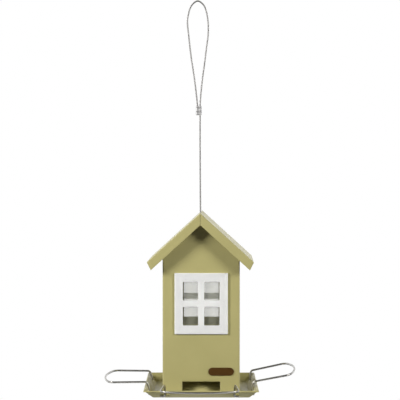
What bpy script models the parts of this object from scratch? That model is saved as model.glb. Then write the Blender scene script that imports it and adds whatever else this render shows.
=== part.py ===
"""A hanging bird feeder shaped like a small house, in folded sheet metal and wire.

Metres, +Z up, the front faces -Y. The origin is the middle of the tray's underside.
Each function makes one kind of piece, and the driving sizes are the named values below.
"""

import math

import bmesh
import bpy
from mathutils import Matrix, Vector

# Sheet and clearances
SHEET = 0.0008
DEFLECTOR_SHEET = 0.0006
GAP = 0.0003  # between pieces that touch on the real feeder
CUT_OVER = 0.002  # how far a cutter runs past the sheet
BEND_INNER = 0.0008
BEND_STEPS = 4

# Tray
TRAY_BASE = 0.122
TRAY_LIP = 0.145
TRAY_HEIGHT = 0.0116
TRAY_CORNER = 0.0016
LIP_TURN_DOWN = 0.0028
DRAIN_RADIUS = 0.0022
DRAIN_PITCH = 0.1072

# House
HOUSE_WIDTH = 0.098
SLOT_WIDTH = 0.048
SLOT_TOP = 0.0183
TAB_INNER = 0.027
TAB_OUTER = 0.045
TAB_DEPTH = 0.012
RETURN_DEPTH = 0.012

# Roof
RIDGE_HEIGHT = 0.2326
EAVE_HEIGHT = 0.171
ROOF_WIDTH = 0.1352
ROOF_DEPTH = 0.126
FASCIA_DEPTH = 0.011
EAVE_FLAP_LEAN = math.radians(27)
ROOF_BEND = 0.0014
SLIT = 0.0004
CABLE_HOLE_RADIUS = 0.0032
LID_TURN = math.radians(-1.0)  # the loose lid sits a little askew on the cable

# Window
FRAME_WIDTH = 0.0676
FRAME_HEIGHT = 0.0776
FRAME_CENTRE_HEIGHT = 0.1176
FRAME_THICKNESS = 0.0018
FRAME_EDGE = 0.0004
FRAME_SIDE = 0.0105
FRAME_RAIL = 0.011
BAR_UPRIGHT = 0.0076
BAR_CROSS = 0.008
PANE_THICKNESS = 0.001
PANE_MARGIN = 0.0018
PIN_RADIUS = 0.0015
PIN_HEAD_RADIUS = 0.0026
PIN_HEAD = 0.001

# Seed deflector
DEFLECTOR_RADIUS = 0.0385
DEFLECTOR_PEAK = 0.022
DEFLECTOR_SIDES = 32
DEFLECTOR_TOP_ANGLE = math.radians(13)
DEFLECTOR_STEPS = 6
DEFLECTOR_SETBACK = 0.0007

# Perches
WIRE = 0.0025
PERCH_PIVOT_HEIGHT = 0.005
PERCH_ARM_HEIGHT = 0.017
PERCH_BEND_REACH = 0.0692
PERCH_CORNER_REACH = 0.1165
PERCH_TIP_REACH = 0.1252
PERCH_HOOK_HALF = 0.0437
PERCH_BEND_HALF = 0.0443
PERCH_CORNER_HALF = 0.048
PERCH_HOOK_DROP = 0.0029
PERCH_HOOK_LENGTH = 0.006
PERCH_LEG_RISE = 0.0034
PERCH_HOOK_RADIUS = 0.0022
PERCH_BEND_RADIUS = 0.004
PERCH_CORNER_RADIUS = 0.009
WIRE_BEND_STEPS = 4
PERCH_SLOT_WIDTH = 0.0076
PERCH_SLOT_HEIGHT = 0.0052
PERCH_SLOT_CORNER = 0.0012
FRONT_PERCH_SHIFT = -0.0018  # it sits to one side in its wide slots
RIGHT_PERCH_TILT = math.radians(11.5)

# Cable and what holds it
CABLE = 0.002
BORE_CLEARANCE = 0.0003
CABLE_POINT_STEP = 0.0064
FERRULE_BOTTOM = 0.3585
FERRULE_LENGTH = 0.012
FERRULE_WALL = 0.0008
FERRULE_CENTRE = -0.0032
BARREL_SPACING = 0.0034
BRACKET_TOP = 0.1775
BRACKET_SHEET = 0.0015
BRACKET_WIDTH = 0.014
BRACKET_TAB = 0.014
STOP_RADIUS = 0.003
STOP_LENGTH = 0.008

# Rivets
RIVET_RADIUS = 0.0014
RIVET_HOLE = 0.0018
RIVET_HEAD_RADIUS = 0.0027
RIVET_HEAD = 0.0009
RIVET_TAIL_RADIUS = 0.0022
RIVET_TAIL = 0.0008
COUNTERSINK = 0.0027
SEAM_RIVET_HEIGHTS = (0.040, 0.100, 0.160)
SEAM_RIVET_INSET = 0.0068
BASE_RIVET_X = 0.036
BASE_RIVET_INSET = 0.0068
ROUND_SIDES = 16

# Name plate, left bare
PLATE_LEFT = 0.009
PLATE_LENGTH = 0.0325
PLATE_BOTTOM = 0.026
PLATE_HEIGHT = 0.0101
PLATE_THICKNESS = 0.0008
PLATE_EDGE = 0.0002

# Worked out from the sizes above
HOUSE_HALF = HOUSE_WIDTH / 2
HOUSE_INNER = HOUSE_HALF - SHEET
ROOF_HALF = ROOF_WIDTH / 2
ROOF_SLOPE = math.atan2(RIDGE_HEIGHT - EAVE_HEIGHT, ROOF_HALF)
LID_CLEARANCE = GAP + HOUSE_HALF * abs(math.sin(LID_TURN)) * math.sin(ROOF_SLOPE)
DEFLECTOR_BOTTOM = SHEET + GAP
DEFLECTOR_TOP = DEFLECTOR_BOTTOM + DEFLECTOR_SHEET
HOUSE_BOTTOM = DEFLECTOR_TOP + GAP
REAR_HALF = HOUSE_INNER - GAP
FLARE_RUN = (TRAY_LIP - TRAY_BASE) / 2

# The cable's route at y = 0 as (x, z), chosen by hand along the photographed wire
STAND_X = FERRULE_CENTRE + BARREL_SPACING / 2
TAIL_X = FERRULE_CENTRE - BARREL_SPACING / 2
CABLE_ROUTE = (
    (0.0, 0.1680),
    (0.0, 0.1800),
    (-0.0003, 0.2000),
    (-0.0009, 0.2320),
    (-0.0013, 0.2800),
    (STAND_X, 0.3300),
    (STAND_X, 0.3500),
    (STAND_X, 0.3600),
    (STAND_X, 0.3710),
    (-0.0003, 0.3880),
    (0.0020, 0.4090),
    (0.0045, 0.4270),
    (0.0067, 0.4450),
    (0.0087, 0.4600),
    (0.0092, 0.4720),
    (0.0085, 0.4830),
    (0.0066, 0.4930),
    (0.0030, 0.5015),
    (-0.0047, 0.5066),
    (-0.0127, 0.5005),
    (-0.0168, 0.4888),
    (-0.0179, 0.4780),
    (-0.0166, 0.4640),
    (-0.0130, 0.4330),
    (-0.0100, 0.4139),
    (-0.0070, 0.3910),
    (TAIL_X, 0.3710),
    (TAIL_X, 0.3640),
    (TAIL_X, 0.3592),
)


def clear_scene():
    for item in list(bpy.data.objects):
        bpy.data.objects.remove(item, do_unlink=True)


def finish(name, colour, roughness, metallic):
    """A plain material for one finish."""
    material = bpy.data.materials.new(name)
    material.use_nodes = True
    shader = material.node_tree.nodes["Principled BSDF"]
    shader.inputs["Base Color"].default_value = (*colour, 1)
    shader.inputs["Roughness"].default_value = roughness
    shader.inputs["Metallic"].default_value = metallic
    material.diffuse_color = (*colour, 1)
    return material


def add_object(name, data, material):
    piece = bpy.data.objects.new(name, data)
    bpy.context.scene.collection.objects.link(piece)
    if material and not data.materials:
        data.materials.append(material)
    return piece


def add_mesh(name, bm, material, smooth=math.radians(35)):
    """Turns a bmesh into an object, round faces smooth and folds sharp."""
    bmesh.ops.recalc_face_normals(bm, faces=bm.faces)
    mesh = bpy.data.meshes.new(name)
    bm.to_mesh(mesh)
    bm.free()
    mesh.shade_smooth()
    mesh.set_sharp_from_angle(angle=smooth)
    return add_object(name, mesh, material)


def in_plan(u, v, w):
    return (u, v, w)


def in_elevation(u, v, w):
    return (u, w, v)


def in_side_view(u, v, w):
    return (w, u, v)


def add_prism(bm, outline, low, high, place=in_plan):
    """Extrudes a closed outline from low to high, square to the plane that place gives."""
    first = [bm.verts.new(place(u, v, low)) for u, v in outline]
    last = [bm.verts.new(place(u, v, high)) for u, v in outline]
    bm.faces.new(first)
    bm.faces.new(last)
    for i in range(len(outline)):
        j = (i + 1) % len(outline)
        bm.faces.new((first[i], first[j], last[j], last[i]))
    return first + last


def box_outline(left, right, bottom, top):
    return [(left, bottom), (right, bottom), (right, top), (left, top)]


def circle_outline(u, v, radius, sides=ROUND_SIDES):
    """A circle turned half a step, so that its sides lie square to the axes."""
    step = 2 * math.pi / sides
    angles = [(k + 0.5) * step for k in range(sides)]
    return [(u + radius * math.cos(a), v + radius * math.sin(a)) for a in angles]


def rounded(corners, radii, steps=BEND_STEPS, closed=True):
    """The corners again, each with a radius replaced by points along its arc. Works in 2 or 3 dimensions."""
    points = []
    count = len(corners)
    for i, corner in enumerate(corners):
        at = Vector(corner)
        radius = radii[i]
        if radius == 0 or (not closed and i in (0, count - 1)):
            points.append(at)
            continue
        back = (Vector(corners[i - 1]) - at).normalized()
        ahead = (Vector(corners[(i + 1) % count]) - at).normalized()
        half = back.angle(ahead) / 2
        centre = at + (back + ahead).normalized() * (radius / math.sin(half))
        start = at + back * (radius / math.tan(half)) - centre
        end = at + ahead * (radius / math.tan(half)) - centre
        turn = start.angle(end)
        for k in range(steps + 1):
            share = k / steps
            near = math.sin((1 - share) * turn) / math.sin(turn)
            far = math.sin(share * turn) / math.sin(turn)
            points.append(centre + start * near + end * far)
    return [tuple(p) for p in points]


def cutter(name, bm):
    """A hidden body that a Boolean takes away."""
    piece = add_mesh(name, bm, None)
    piece.hide_render = True
    piece.display_type = "WIRE"
    return piece


def apply_boolean(piece, other, operation):
    step = piece.modifiers.new(other.name, "BOOLEAN")
    step.operation = operation
    step.solver = "EXACT"
    step.object = other


def square_ring(bm, half, height, corner):
    """One level of a square vessel with rounded corners, as a closed loop of points."""
    corners = [(half, half), (-half, half), (-half, -half), (half, -half)]
    loop = rounded(corners, [corner] * 4, 3) if corner else corners
    return [bm.verts.new((x, y, height)) for x, y in loop]


def square_shell(bm, profile, corner):
    """A body whose section is profile, (half side, height), with a flat square face at both ends."""
    rings = [square_ring(bm, half, height, corner) for half, height in profile]
    for low, high in zip(rings, rings[1:]):
        for i in range(len(low)):
            j = (i + 1) % len(low)
            bm.faces.new((low[i], low[j], high[j], high[i]))
    bm.faces.new(rings[0])
    bm.faces.new(rings[-1])


def turned(bm, profile, centre, axis):
    """A solid turned from (radius, distance along axis), closed with a flat face at both ends."""
    turn = Vector((0, 0, 1)).rotation_difference(Vector(axis)).to_matrix()
    outline = circle_outline(0, 0, 1)
    rings = []
    for radius, along in profile:
        points = [turn @ Vector((u * radius, v * radius, along)) + Vector(centre) for u, v in outline]
        rings.append([bm.verts.new(p) for p in points])
    for low, high in zip(rings, rings[1:]):
        for i in range(len(low)):
            j = (i + 1) % len(low)
            bm.faces.new((low[i], low[j], high[j], high[i]))
    bm.faces.new(rings[0])
    bm.faces.new(rings[-1])


def tray_flare():
    """The slope of the tray's flared wall, and its sheet measured upright."""
    rise = TRAY_HEIGHT
    for _ in range(8):
        slope = rise / FLARE_RUN
        rise = TRAY_HEIGHT - SHEET * math.hypot(1, slope)
    upright = SHEET * math.hypot(1, slope)
    return slope, upright


def perch_pivot_reach():
    """How far from the middle the wire crosses the tray wall, at the middle of the sheet."""
    slope, upright = tray_flare()
    return TRAY_BASE / 2 + (PERCH_PIVOT_HEIGHT - upright / 2) / slope


def make_tray(material):
    slope, upright = tray_flare()
    base = TRAY_BASE / 2
    lip = TRAY_LIP / 2
    inner_base = base + (SHEET - upright) / slope
    under_lip = (lip - SHEET - base) * slope
    lip_bottom = TRAY_HEIGHT - LIP_TURN_DOWN
    corners = [
        (base - 0.004, 0),
        (base, 0),
        (lip - SHEET, under_lip),
        (lip - SHEET, lip_bottom),
        (lip, lip_bottom),
        (lip, TRAY_HEIGHT),
        (inner_base, SHEET),
        (base - 0.004, SHEET),
    ]
    outer_bend = BEND_INNER + SHEET
    radii = [0, outer_bend, 0, 0, 0, BEND_INNER / 2, BEND_INNER, 0]
    bm = bmesh.new()
    square_shell(bm, rounded(corners, radii, 3, closed=False), TRAY_CORNER)
    tray = add_mesh("tray", bm, material)

    cuts = bmesh.new()
    for side in range(4):
        turn = Matrix.Rotation(side * math.pi / 2, 4, "Z")
        for hand in (-1, 1):
            centre = (perch_pivot_reach(), hand * PERCH_HOOK_HALF, PERCH_PIVOT_HEIGHT)
            verts = perch_slot(cuts, slope)
            bmesh.ops.transform(cuts, matrix=turn @ Matrix.Translation(centre), verts=verts)
        drain = turn @ Vector((DRAIN_PITCH / 2, DRAIN_PITCH / 2, 0))
        add_prism(cuts, circle_outline(drain.x, drain.y, DRAIN_RADIUS, 12), -CUT_OVER, SHEET + CUT_OVER)
    for x, y in base_rivet_places():
        flare = COUNTERSINK - RIVET_HOLE
        lower = COUNTERSINK + flare * CUT_OVER / SHEET
        profile = [(lower, -CUT_OVER), (RIVET_HOLE, SHEET), (RIVET_HOLE, SHEET + CUT_OVER)]
        turned(cuts, profile, (x, y, 0), (0, 0, 1))
    apply_boolean(tray, cutter("tray_cuts", cuts), "DIFFERENCE")
    return tray


def perch_slot(bm, slope):
    """A slot square to the flared wall, made at the origin for the +X side."""
    half_w = PERCH_SLOT_WIDTH / 2
    half_h = PERCH_SLOT_HEIGHT / 2
    outline = rounded(box_outline(-half_h, half_h, -half_w, half_w), [PERCH_SLOT_CORNER] * 4, 3)
    verts = add_prism(bm, outline, -CUT_OVER, CUT_OVER)
    lean = Matrix.Rotation(-math.atan(slope), 4, "Y")
    bmesh.ops.transform(bm, matrix=lean, verts=verts)
    return verts


def base_rivet_places():
    reach = HOUSE_HALF - BASE_RIVET_INSET
    return [(x, y) for y in (-reach, reach) for x in (-BASE_RIVET_X, BASE_RIVET_X)]


def roof_underside(x, clearance):
    """Height of the plane below the roof sheet, with a clearance measured square to it."""
    drop = (SHEET + clearance) / math.cos(ROOF_SLOPE)
    return RIDGE_HEIGHT - drop - abs(x) * math.tan(ROOF_SLOPE)


def cut_walls(piece, name, cuts):
    """Cuts the sloping top of the walls, with whatever else cuts holds."""
    far = ROOF_HALF
    high = RIDGE_HEIGHT + CUT_OVER
    top = [
        (-far, roof_underside(far, LID_CLEARANCE)),
        (0, roof_underside(0, LID_CLEARANCE)),
        (far, roof_underside(far, LID_CLEARANCE)),
        (far, high),
        (-far, high),
    ]
    add_prism(cuts, top, -HOUSE_WIDTH, HOUSE_WIDTH, in_elevation)
    apply_boolean(piece, cutter(name, cuts), "DIFFERENCE")


def window_cuts(cuts, wall_y):
    """The window's opening and the holes for the frame's four pins."""
    half_w = FRAME_WIDTH / 2 - FRAME_SIDE + GAP
    half_h = FRAME_HEIGHT / 2 - FRAME_RAIL + GAP
    z = FRAME_CENTRE_HEIGHT
    low, high = wall_y - CUT_OVER, wall_y + CUT_OVER
    add_prism(cuts, box_outline(-half_w, half_w, z - half_h, z + half_h), low, high, in_elevation)
    for x, pin_z in pin_places():
        add_prism(cuts, circle_outline(x, pin_z, PIN_RADIUS + GAP), low, high, in_elevation)


def pin_places():
    x = (FRAME_WIDTH - FRAME_SIDE) / 2
    rise = (FRAME_HEIGHT - FRAME_RAIL) / 2
    return [(sx * x, FRAME_CENTRE_HEIGHT + sz * rise) for sx in (-1, 1) for sz in (-1, 1)]


def slot_outline():
    """A seed slot, open at the bottom edge of its wall."""
    half = SLOT_WIDTH / 2
    return box_outline(-half, half, HOUSE_BOTTOM - CUT_OVER, SLOT_TOP)


def wall_tabs(bm, face_y, inward):
    """The two tabs folded inwards along the bottom of a wall whose outer face is at face_y."""
    start = face_y + inward * SHEET / 2
    end = face_y + inward * TAB_DEPTH
    for hand in (-1, 1):
        left, right = sorted((hand * TAB_INNER, hand * TAB_OUTER))
        outline = box_outline(left, right, min(start, end), max(start, end))
        add_prism(bm, outline, HOUSE_BOTTOM, HOUSE_BOTTOM + SHEET)


def tab_holes(cuts, y):
    for x, rivet_y in base_rivet_places():
        if rivet_y * y > 0:
            add_prism(cuts, circle_outline(x, rivet_y, RIVET_HOLE), -CUT_OVER, HOUSE_BOTTOM + SHEET + CUT_OVER)


def side_holes(cuts, low, high, with_bracket):
    """Rivet holes across the side walls, from x = low to x = high on both sides."""
    y = HOUSE_HALF - SEAM_RIVET_INSET
    places = [(y, z) for z in SEAM_RIVET_HEIGHTS]
    if with_bracket:
        places.append((0, bracket_rivet_height()))
    for hand in (-1, 1):
        ends = sorted((hand * low, hand * high))
        for v, z in places:
            add_prism(cuts, circle_outline(v, z, RIVET_HOLE), ends[0], ends[1], in_side_view)


def bracket_rivet_height():
    return BRACKET_TOP - BRACKET_TAB * 0.6


def make_body_shell(material):
    half, inner = HOUSE_HALF, HOUSE_INNER
    bend = BEND_INNER + SHEET
    corners = [
        (-half, half), (-half, -half), (half, -half), (half, half),
        (inner, half), (inner, -inner), (-inner, -inner), (-inner, half),
    ]
    radii = [0, bend, bend, 0, 0, BEND_INNER, BEND_INNER, 0]
    bm = bmesh.new()
    add_prism(bm, rounded(corners, radii), HOUSE_BOTTOM, RIDGE_HEIGHT)
    shell = add_mesh("body_shell", bm, material)

    tabs = bmesh.new()
    wall_tabs(tabs, -half, 1)
    apply_boolean(shell, cutter("body_shell_tabs", tabs), "UNION")

    cuts = bmesh.new()
    window_cuts(cuts, -half)
    add_prism(cuts, slot_outline(), -half - CUT_OVER, -inner + CUT_OVER, in_elevation)
    for hand in (-1, 1):
        ends = sorted((hand * (inner - CUT_OVER), hand * (half + CUT_OVER)))
        add_prism(cuts, slot_outline(), ends[0], ends[1], in_side_view)
    tab_holes(cuts, -1)
    side_holes(cuts, inner - CUT_OVER / 4, half + CUT_OVER, True)
    cut_walls(shell, "body_shell_cuts", cuts)
    return shell


def make_rear_panel(material):
    half = REAR_HALF
    inner = half - SHEET
    front = HOUSE_HALF - RETURN_DEPTH
    back = HOUSE_HALF
    bend = BEND_INNER + SHEET
    corners = [
        (half, front), (half, back), (-half, back), (-half, front),
        (-inner, front), (-inner, back - SHEET), (inner, back - SHEET), (inner, front),
    ]
    radii = [0, bend, bend, 0, 0, BEND_INNER, BEND_INNER, 0]
    bm = bmesh.new()
    add_prism(bm, rounded(corners, radii), HOUSE_BOTTOM, RIDGE_HEIGHT)
    panel = add_mesh("rear_panel", bm, material)

    tabs = bmesh.new()
    wall_tabs(tabs, back, -1)
    apply_boolean(panel, cutter("rear_panel_tabs", tabs), "UNION")

    cuts = bmesh.new()
    window_cuts(cuts, back)
    add_prism(cuts, slot_outline(), back - SHEET - CUT_OVER, back + CUT_OVER, in_elevation)
    tab_holes(cuts, 1)
    side_holes(cuts, inner - CUT_OVER, half + CUT_OVER / 8, False)
    cut_walls(panel, "rear_panel_cuts", cuts)
    return panel


def meeting(a, along_a, b, along_b):
    """Where the line through a meets the line through b, in two dimensions."""
    across = along_a.x * along_b.y - along_a.y * along_b.x
    gap = b - a
    return a + along_a * ((gap.x * along_b.y - gap.y * along_b.x) / across)


def roof_lines(inset):
    """Half of the lid's section, drawn inset inside its outer faces: the ridge, the eave and the flap's way down."""
    slope = Vector((math.cos(ROOF_SLOPE), -math.sin(ROOF_SLOPE)))
    flap = Vector((-math.sin(EAVE_FLAP_LEAN), -math.cos(EAVE_FLAP_LEAN)))
    ridge = Vector((0, RIDGE_HEIGHT - inset / math.cos(ROOF_SLOPE)))
    on_flap = Vector((ROOF_HALF, EAVE_HEIGHT)) + Vector((flap.y, -flap.x)) * inset
    return ridge, meeting(ridge, slope, on_flap, flap), flap


def both_sides(ridge, eave, foot, middle):
    """A closed section from the points of its right half."""
    left = [(-x, z) for x, z in (foot, eave)]
    return [tuple(ridge), tuple(eave), tuple(foot)] + middle + left


def make_roof(material):
    ridge, eave, flap = roof_lines(0)
    flap_length = FASCIA_DEPTH / math.cos(ROOF_SLOPE - EAVE_FLAP_LEAN)
    foot = eave + flap * flap_length
    apex = (0, RIDGE_HEIGHT - FASCIA_DEPTH / math.cos(ROOF_SLOPE))
    section = both_sides(ridge, eave, foot, [apex])
    radii = [ROOF_BEND, ROOF_BEND, 0, 0, 0, ROOF_BEND]
    half_depth = ROOF_DEPTH / 2
    bm = bmesh.new()
    add_prism(bm, rounded(section, radii), -half_depth, half_depth, in_elevation)
    bm.normal_update()
    lowest = foot.y + flap_length / 2
    folds = [
        edge for edge in bm.edges
        if all(abs(abs(v.co.y) - half_depth) < CUT_OVER / 100 for v in edge.verts)
        and edge.verts[0].co.y * edge.verts[1].co.y > 0
        and min(v.co.z for v in edge.verts) > lowest
        and above_fascia(edge, apex[1])
    ]
    bmesh.ops.bevel(bm, geom=folds, offset=ROOF_BEND * 0.8, segments=3, profile=0.5, affect="EDGES")
    roof = add_mesh("roof", bm, material)

    ridge_in, eave_in, _ = roof_lines(SHEET)
    foot_in = eave_in + flap * (flap_length + CUT_OVER * 2)
    inside = both_sides(ridge_in, eave_in, foot_in, [])
    cuts = bmesh.new()
    end = half_depth - SHEET
    add_prism(cuts, rounded(inside, [BEND_INNER / 2] + [0] * 4), -end, end, in_elevation)
    apply_boolean(roof, cutter("roof_inside", cuts), "DIFFERENCE")

    holes = bmesh.new()
    hole = circle_outline(0, 0, CABLE_HOLE_RADIUS)
    add_prism(holes, hole, RIDGE_HEIGHT - ROOF_BEND * 6, RIDGE_HEIGHT + CUT_OVER)
    for hand in (-1, 1):
        ends = sorted((hand * (half_depth - SHEET - CUT_OVER / 4), hand * (half_depth + CUT_OVER)))
        joint = box_outline(-SLIT / 2, SLIT / 2, apex[1] - CUT_OVER, RIDGE_HEIGHT - ROOF_BEND * 2)
        add_prism(holes, joint, *ends, in_elevation)
        for side in (-1, 1):
            add_prism(holes, corner_slit(side, eave_in, flap, flap_length), *ends, in_elevation)
    apply_boolean(roof, cutter("roof_holes", holes), "DIFFERENCE")
    for piece in [roof] + [step.object for step in roof.modifiers]:
        piece.rotation_euler.z = LID_TURN
    return roof


def above_fascia(edge, apex_height):
    """Whether an edge of the lid's end face lies on the roof slopes, above the fascia's lower edge."""
    middle = (edge.verts[0].co + edge.verts[1].co) / 2
    lower = apex_height - abs(middle.x) * math.tan(ROOF_SLOPE)
    return middle.z > lower + FASCIA_DEPTH / 2


def corner_slit(side, eave_in, flap, flap_length):
    """The open corner between a fascia's end and the eave flap beside it."""
    across = Vector((flap.y, -flap.x))
    top = eave_in + flap * ROOF_BEND
    foot = eave_in + flap * (flap_length + CUT_OVER)
    corners = [top, foot, foot + across * SLIT, top + across * SLIT]
    return [(side * p.x, p.y) for p in corners]


def make_window_frame(name, face_y, outward, material):
    """The frame with its glazing bars, and four pins with spread heads behind the pane."""
    half_w, half_h = FRAME_WIDTH / 2, FRAME_HEIGHT / 2
    xs = mirrored(half_w, half_w - FRAME_SIDE, BAR_UPRIGHT / 2)
    zs = mirrored(half_h, half_h - FRAME_RAIL, BAR_CROSS / 2)
    back = face_y + outward * GAP
    front = back + outward * FRAME_THICKNESS
    bm = bmesh.new()
    grid = [[bm.verts.new((x, back, FRAME_CENTRE_HEIGHT + z)) for x in xs] for z in zs]
    for row in range(5):
        for col in range(5):
            if row % 2 and col % 2:
                continue
            low, high = grid[row], grid[row + 1]
            bm.faces.new((low[col], low[col + 1], high[col + 1], high[col]))
    made = bmesh.ops.extrude_face_region(bm, geom=list(bm.faces))
    moved = [v for v in made["geom"] if isinstance(v, bmesh.types.BMVert)]
    bmesh.ops.translate(bm, vec=(0, front - back, 0), verts=moved)
    bmesh.ops.recalc_face_normals(bm, faces=bm.faces)
    front_edges = [
        edge for edge in bm.edges
        if edge.calc_face_angle(0) > 1 and all(abs(v.co.y - front) < FRAME_EDGE / 10 for v in edge.verts)
    ]
    bmesh.ops.bevel(bm, geom=front_edges, offset=FRAME_EDGE, segments=2, profile=0.5, affect="EDGES")
    frame = add_mesh(name, bm, material)

    pins = bmesh.new()
    pane_back = SHEET + GAP + PANE_THICKNESS
    for x, z in pin_places():
        profile = [
            (PIN_RADIUS, -GAP - FRAME_THICKNESS / 2),
            (PIN_RADIUS, pane_back + GAP),
            (PIN_HEAD_RADIUS, pane_back + GAP),
            (PIN_HEAD_RADIUS, pane_back + GAP + PIN_HEAD * 0.6),
            (PIN_HEAD_RADIUS * 0.7, pane_back + GAP + PIN_HEAD),
        ]
        turned(pins, profile, (x, face_y, z), (0, -outward, 0))
    apply_boolean(frame, cutter(name + "_pins", pins), "UNION")
    return frame


def mirrored(*reaches):
    return [-r for r in reaches] + [r for r in reversed(reaches)]


def make_pane(name, face_y, outward, material):
    half_w = (FRAME_WIDTH - FRAME_SIDE) / 2 + PIN_HEAD_RADIUS + PANE_MARGIN
    half_h = (FRAME_HEIGHT - FRAME_RAIL) / 2 + PIN_HEAD_RADIUS + PANE_MARGIN
    z = FRAME_CENTRE_HEIGHT
    near = face_y - outward * (SHEET + GAP)
    ends = sorted((near, near - outward * PANE_THICKNESS))
    bm = bmesh.new()
    outline = rounded(box_outline(-half_w, half_w, z - half_h, z + half_h), [PANE_MARGIN] * 4, 3)
    add_prism(bm, outline, *ends, in_elevation)
    pane = add_mesh(name, bm, material)
    cuts = bmesh.new()
    for x, pin_z in pin_places():
        hole = circle_outline(x, pin_z, PIN_RADIUS + GAP)
        add_prism(cuts, hole, ends[0] - CUT_OVER, ends[1] + CUT_OVER, in_elevation)
    apply_boolean(pane, cutter(name + "_holes", cuts), "DIFFERENCE")
    return pane


def dome_line(inset):
    """(radius, height) from the dome's small flat top to its foot, a quarter of an ellipse moved inwards."""
    rise = (DEFLECTOR_PEAK - DEFLECTOR_TOP) / math.cos(DEFLECTOR_TOP_ANGLE)
    line = []
    for k in range(DEFLECTOR_STEPS + 1):
        angle = DEFLECTOR_TOP_ANGLE + (math.pi / 2 - DEFLECTOR_TOP_ANGLE) * k / DEFLECTOR_STEPS
        slant = Vector((math.sin(angle) / DEFLECTOR_RADIUS, math.cos(angle) / rise)).normalized()
        radius = DEFLECTOR_RADIUS * math.sin(angle) - inset * slant.x
        line.append((radius, DEFLECTOR_TOP + rise * math.cos(angle) - inset * slant.y))
    return line


def ring_in_plan(bm, reach, height, squared=False):
    """A level ring round the deflector's middle, round or carried out to a square of that half side."""
    ring = []
    for k in range(DEFLECTOR_SIDES):
        angle = 2 * math.pi * k / DEFLECTOR_SIDES
        x, y = math.cos(angle), math.sin(angle)
        radius = reach / max(abs(x), abs(y)) if squared else reach
        ring.append(bm.verts.new((x * radius, y * radius, height)))
    return ring


def make_seed_deflector(material):
    """A low round dome pressed in thin sheet, open below, on a flat flange that the house stands on."""
    flange = HOUSE_HALF - DEFLECTOR_SETBACK
    bm = bmesh.new()
    rings = [ring_in_plan(bm, radius, height) for radius, height in dome_line(0)]
    rings.append(ring_in_plan(bm, flange, DEFLECTOR_TOP, squared=True))
    rings.append(ring_in_plan(bm, flange, DEFLECTOR_BOTTOM, squared=True))
    rings.append(ring_in_plan(bm, DEFLECTOR_RADIUS - DEFLECTOR_SHEET, DEFLECTOR_BOTTOM))
    rings += [ring_in_plan(bm, radius, height) for radius, height in reversed(dome_line(DEFLECTOR_SHEET))]
    for low, high in zip(rings, rings[1:]):
        for i in range(len(low)):
            j = (i + 1) % len(low)
            bm.faces.new((low[i], low[j], high[j], high[i]))
    bm.faces.new(rings[0])
    bm.faces.new(rings[-1])
    deflector = add_mesh("seed_deflector", bm, material)
    cuts = bmesh.new()
    for x, y in base_rivet_places():
        add_prism(cuts, circle_outline(x, y, RIVET_HOLE), DEFLECTOR_BOTTOM - GAP / 2, DEFLECTOR_TOP + CUT_OVER)
    apply_boolean(deflector, cutter("seed_deflector_holes", cuts), "DIFFERENCE")
    return deflector


def wire_curve(name, points, thickness, resolution):
    """One unbroken round wire along the points, with flat ends."""
    curve = bpy.data.curves.new(name, "CURVE")
    curve.dimensions = "3D"
    curve.bevel_depth = thickness / 2
    curve.bevel_resolution = resolution
    curve.use_fill_caps = True
    spline = curve.splines.new("POLY")
    spline.points.add(len(points) - 1)
    for slot, point in zip(spline.points, points):
        slot.co = (*point, 1)
    return curve


def perch_route():
    """A perch at rest as seen from its pivot: +X outwards, +Y along the tray's wall."""
    reach = perch_pivot_reach()
    height = PERCH_ARM_HEIGHT - PERCH_PIVOT_HEIGHT
    corner = PERCH_CORNER_REACH - reach
    bulge = PERCH_TIP_REACH - PERCH_CORNER_REACH
    arc_radius = (PERCH_CORNER_HALF ** 2 + bulge ** 2) / (2 * bulge)
    centre = PERCH_TIP_REACH - reach - arc_radius
    span = math.asin(PERCH_CORNER_HALF / arc_radius)
    half = [
        (0, PERCH_HOOK_HALF + PERCH_HOOK_LENGTH, -PERCH_HOOK_DROP),
        (0, PERCH_HOOK_HALF, -PERCH_HOOK_DROP),
        (0, PERCH_HOOK_HALF, PERCH_LEG_RISE),
        (PERCH_BEND_REACH - reach, PERCH_BEND_HALF, height),
        (corner, PERCH_CORNER_HALF, height),
    ]
    shares = (2 / 3, 1 / 3, 0, -1 / 3, -2 / 3)
    arc = [(centre + arc_radius * math.cos(span * s), arc_radius * math.sin(span * s), height) for s in shares]
    route = half + arc + [(x, -y, z) for x, y, z in reversed(half)]
    ends = [0, PERCH_HOOK_RADIUS, PERCH_BEND_RADIUS, PERCH_BEND_RADIUS, PERCH_CORNER_RADIUS]
    radii = ends + [0] * len(arc) + ends[::-1]
    return rounded(route, radii, WIRE_BEND_STEPS, closed=False)


def make_perches(material):
    """Four bent wires that share one curve, each turning at the two slots that hold it."""
    curve = wire_curve("perch_wire", perch_route(), WIRE, 3)
    places = (
        ("perch_right", 0, 0, RIGHT_PERCH_TILT),
        ("perch_rear", 90, 0, 0),
        ("perch_left", 180, 0, 0),
        ("perch_front", -90, FRONT_PERCH_SHIFT, 0),
    )
    for name, degrees, shift, tilt in places:
        turn = Matrix.Rotation(math.radians(degrees), 4, "Z")
        perch = add_object(name, curve, material)
        perch.location = turn @ Vector((perch_pivot_reach(), shift, PERCH_PIVOT_HEIGHT))
        perch.rotation_euler = (0, -tilt, math.radians(degrees))


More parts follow.
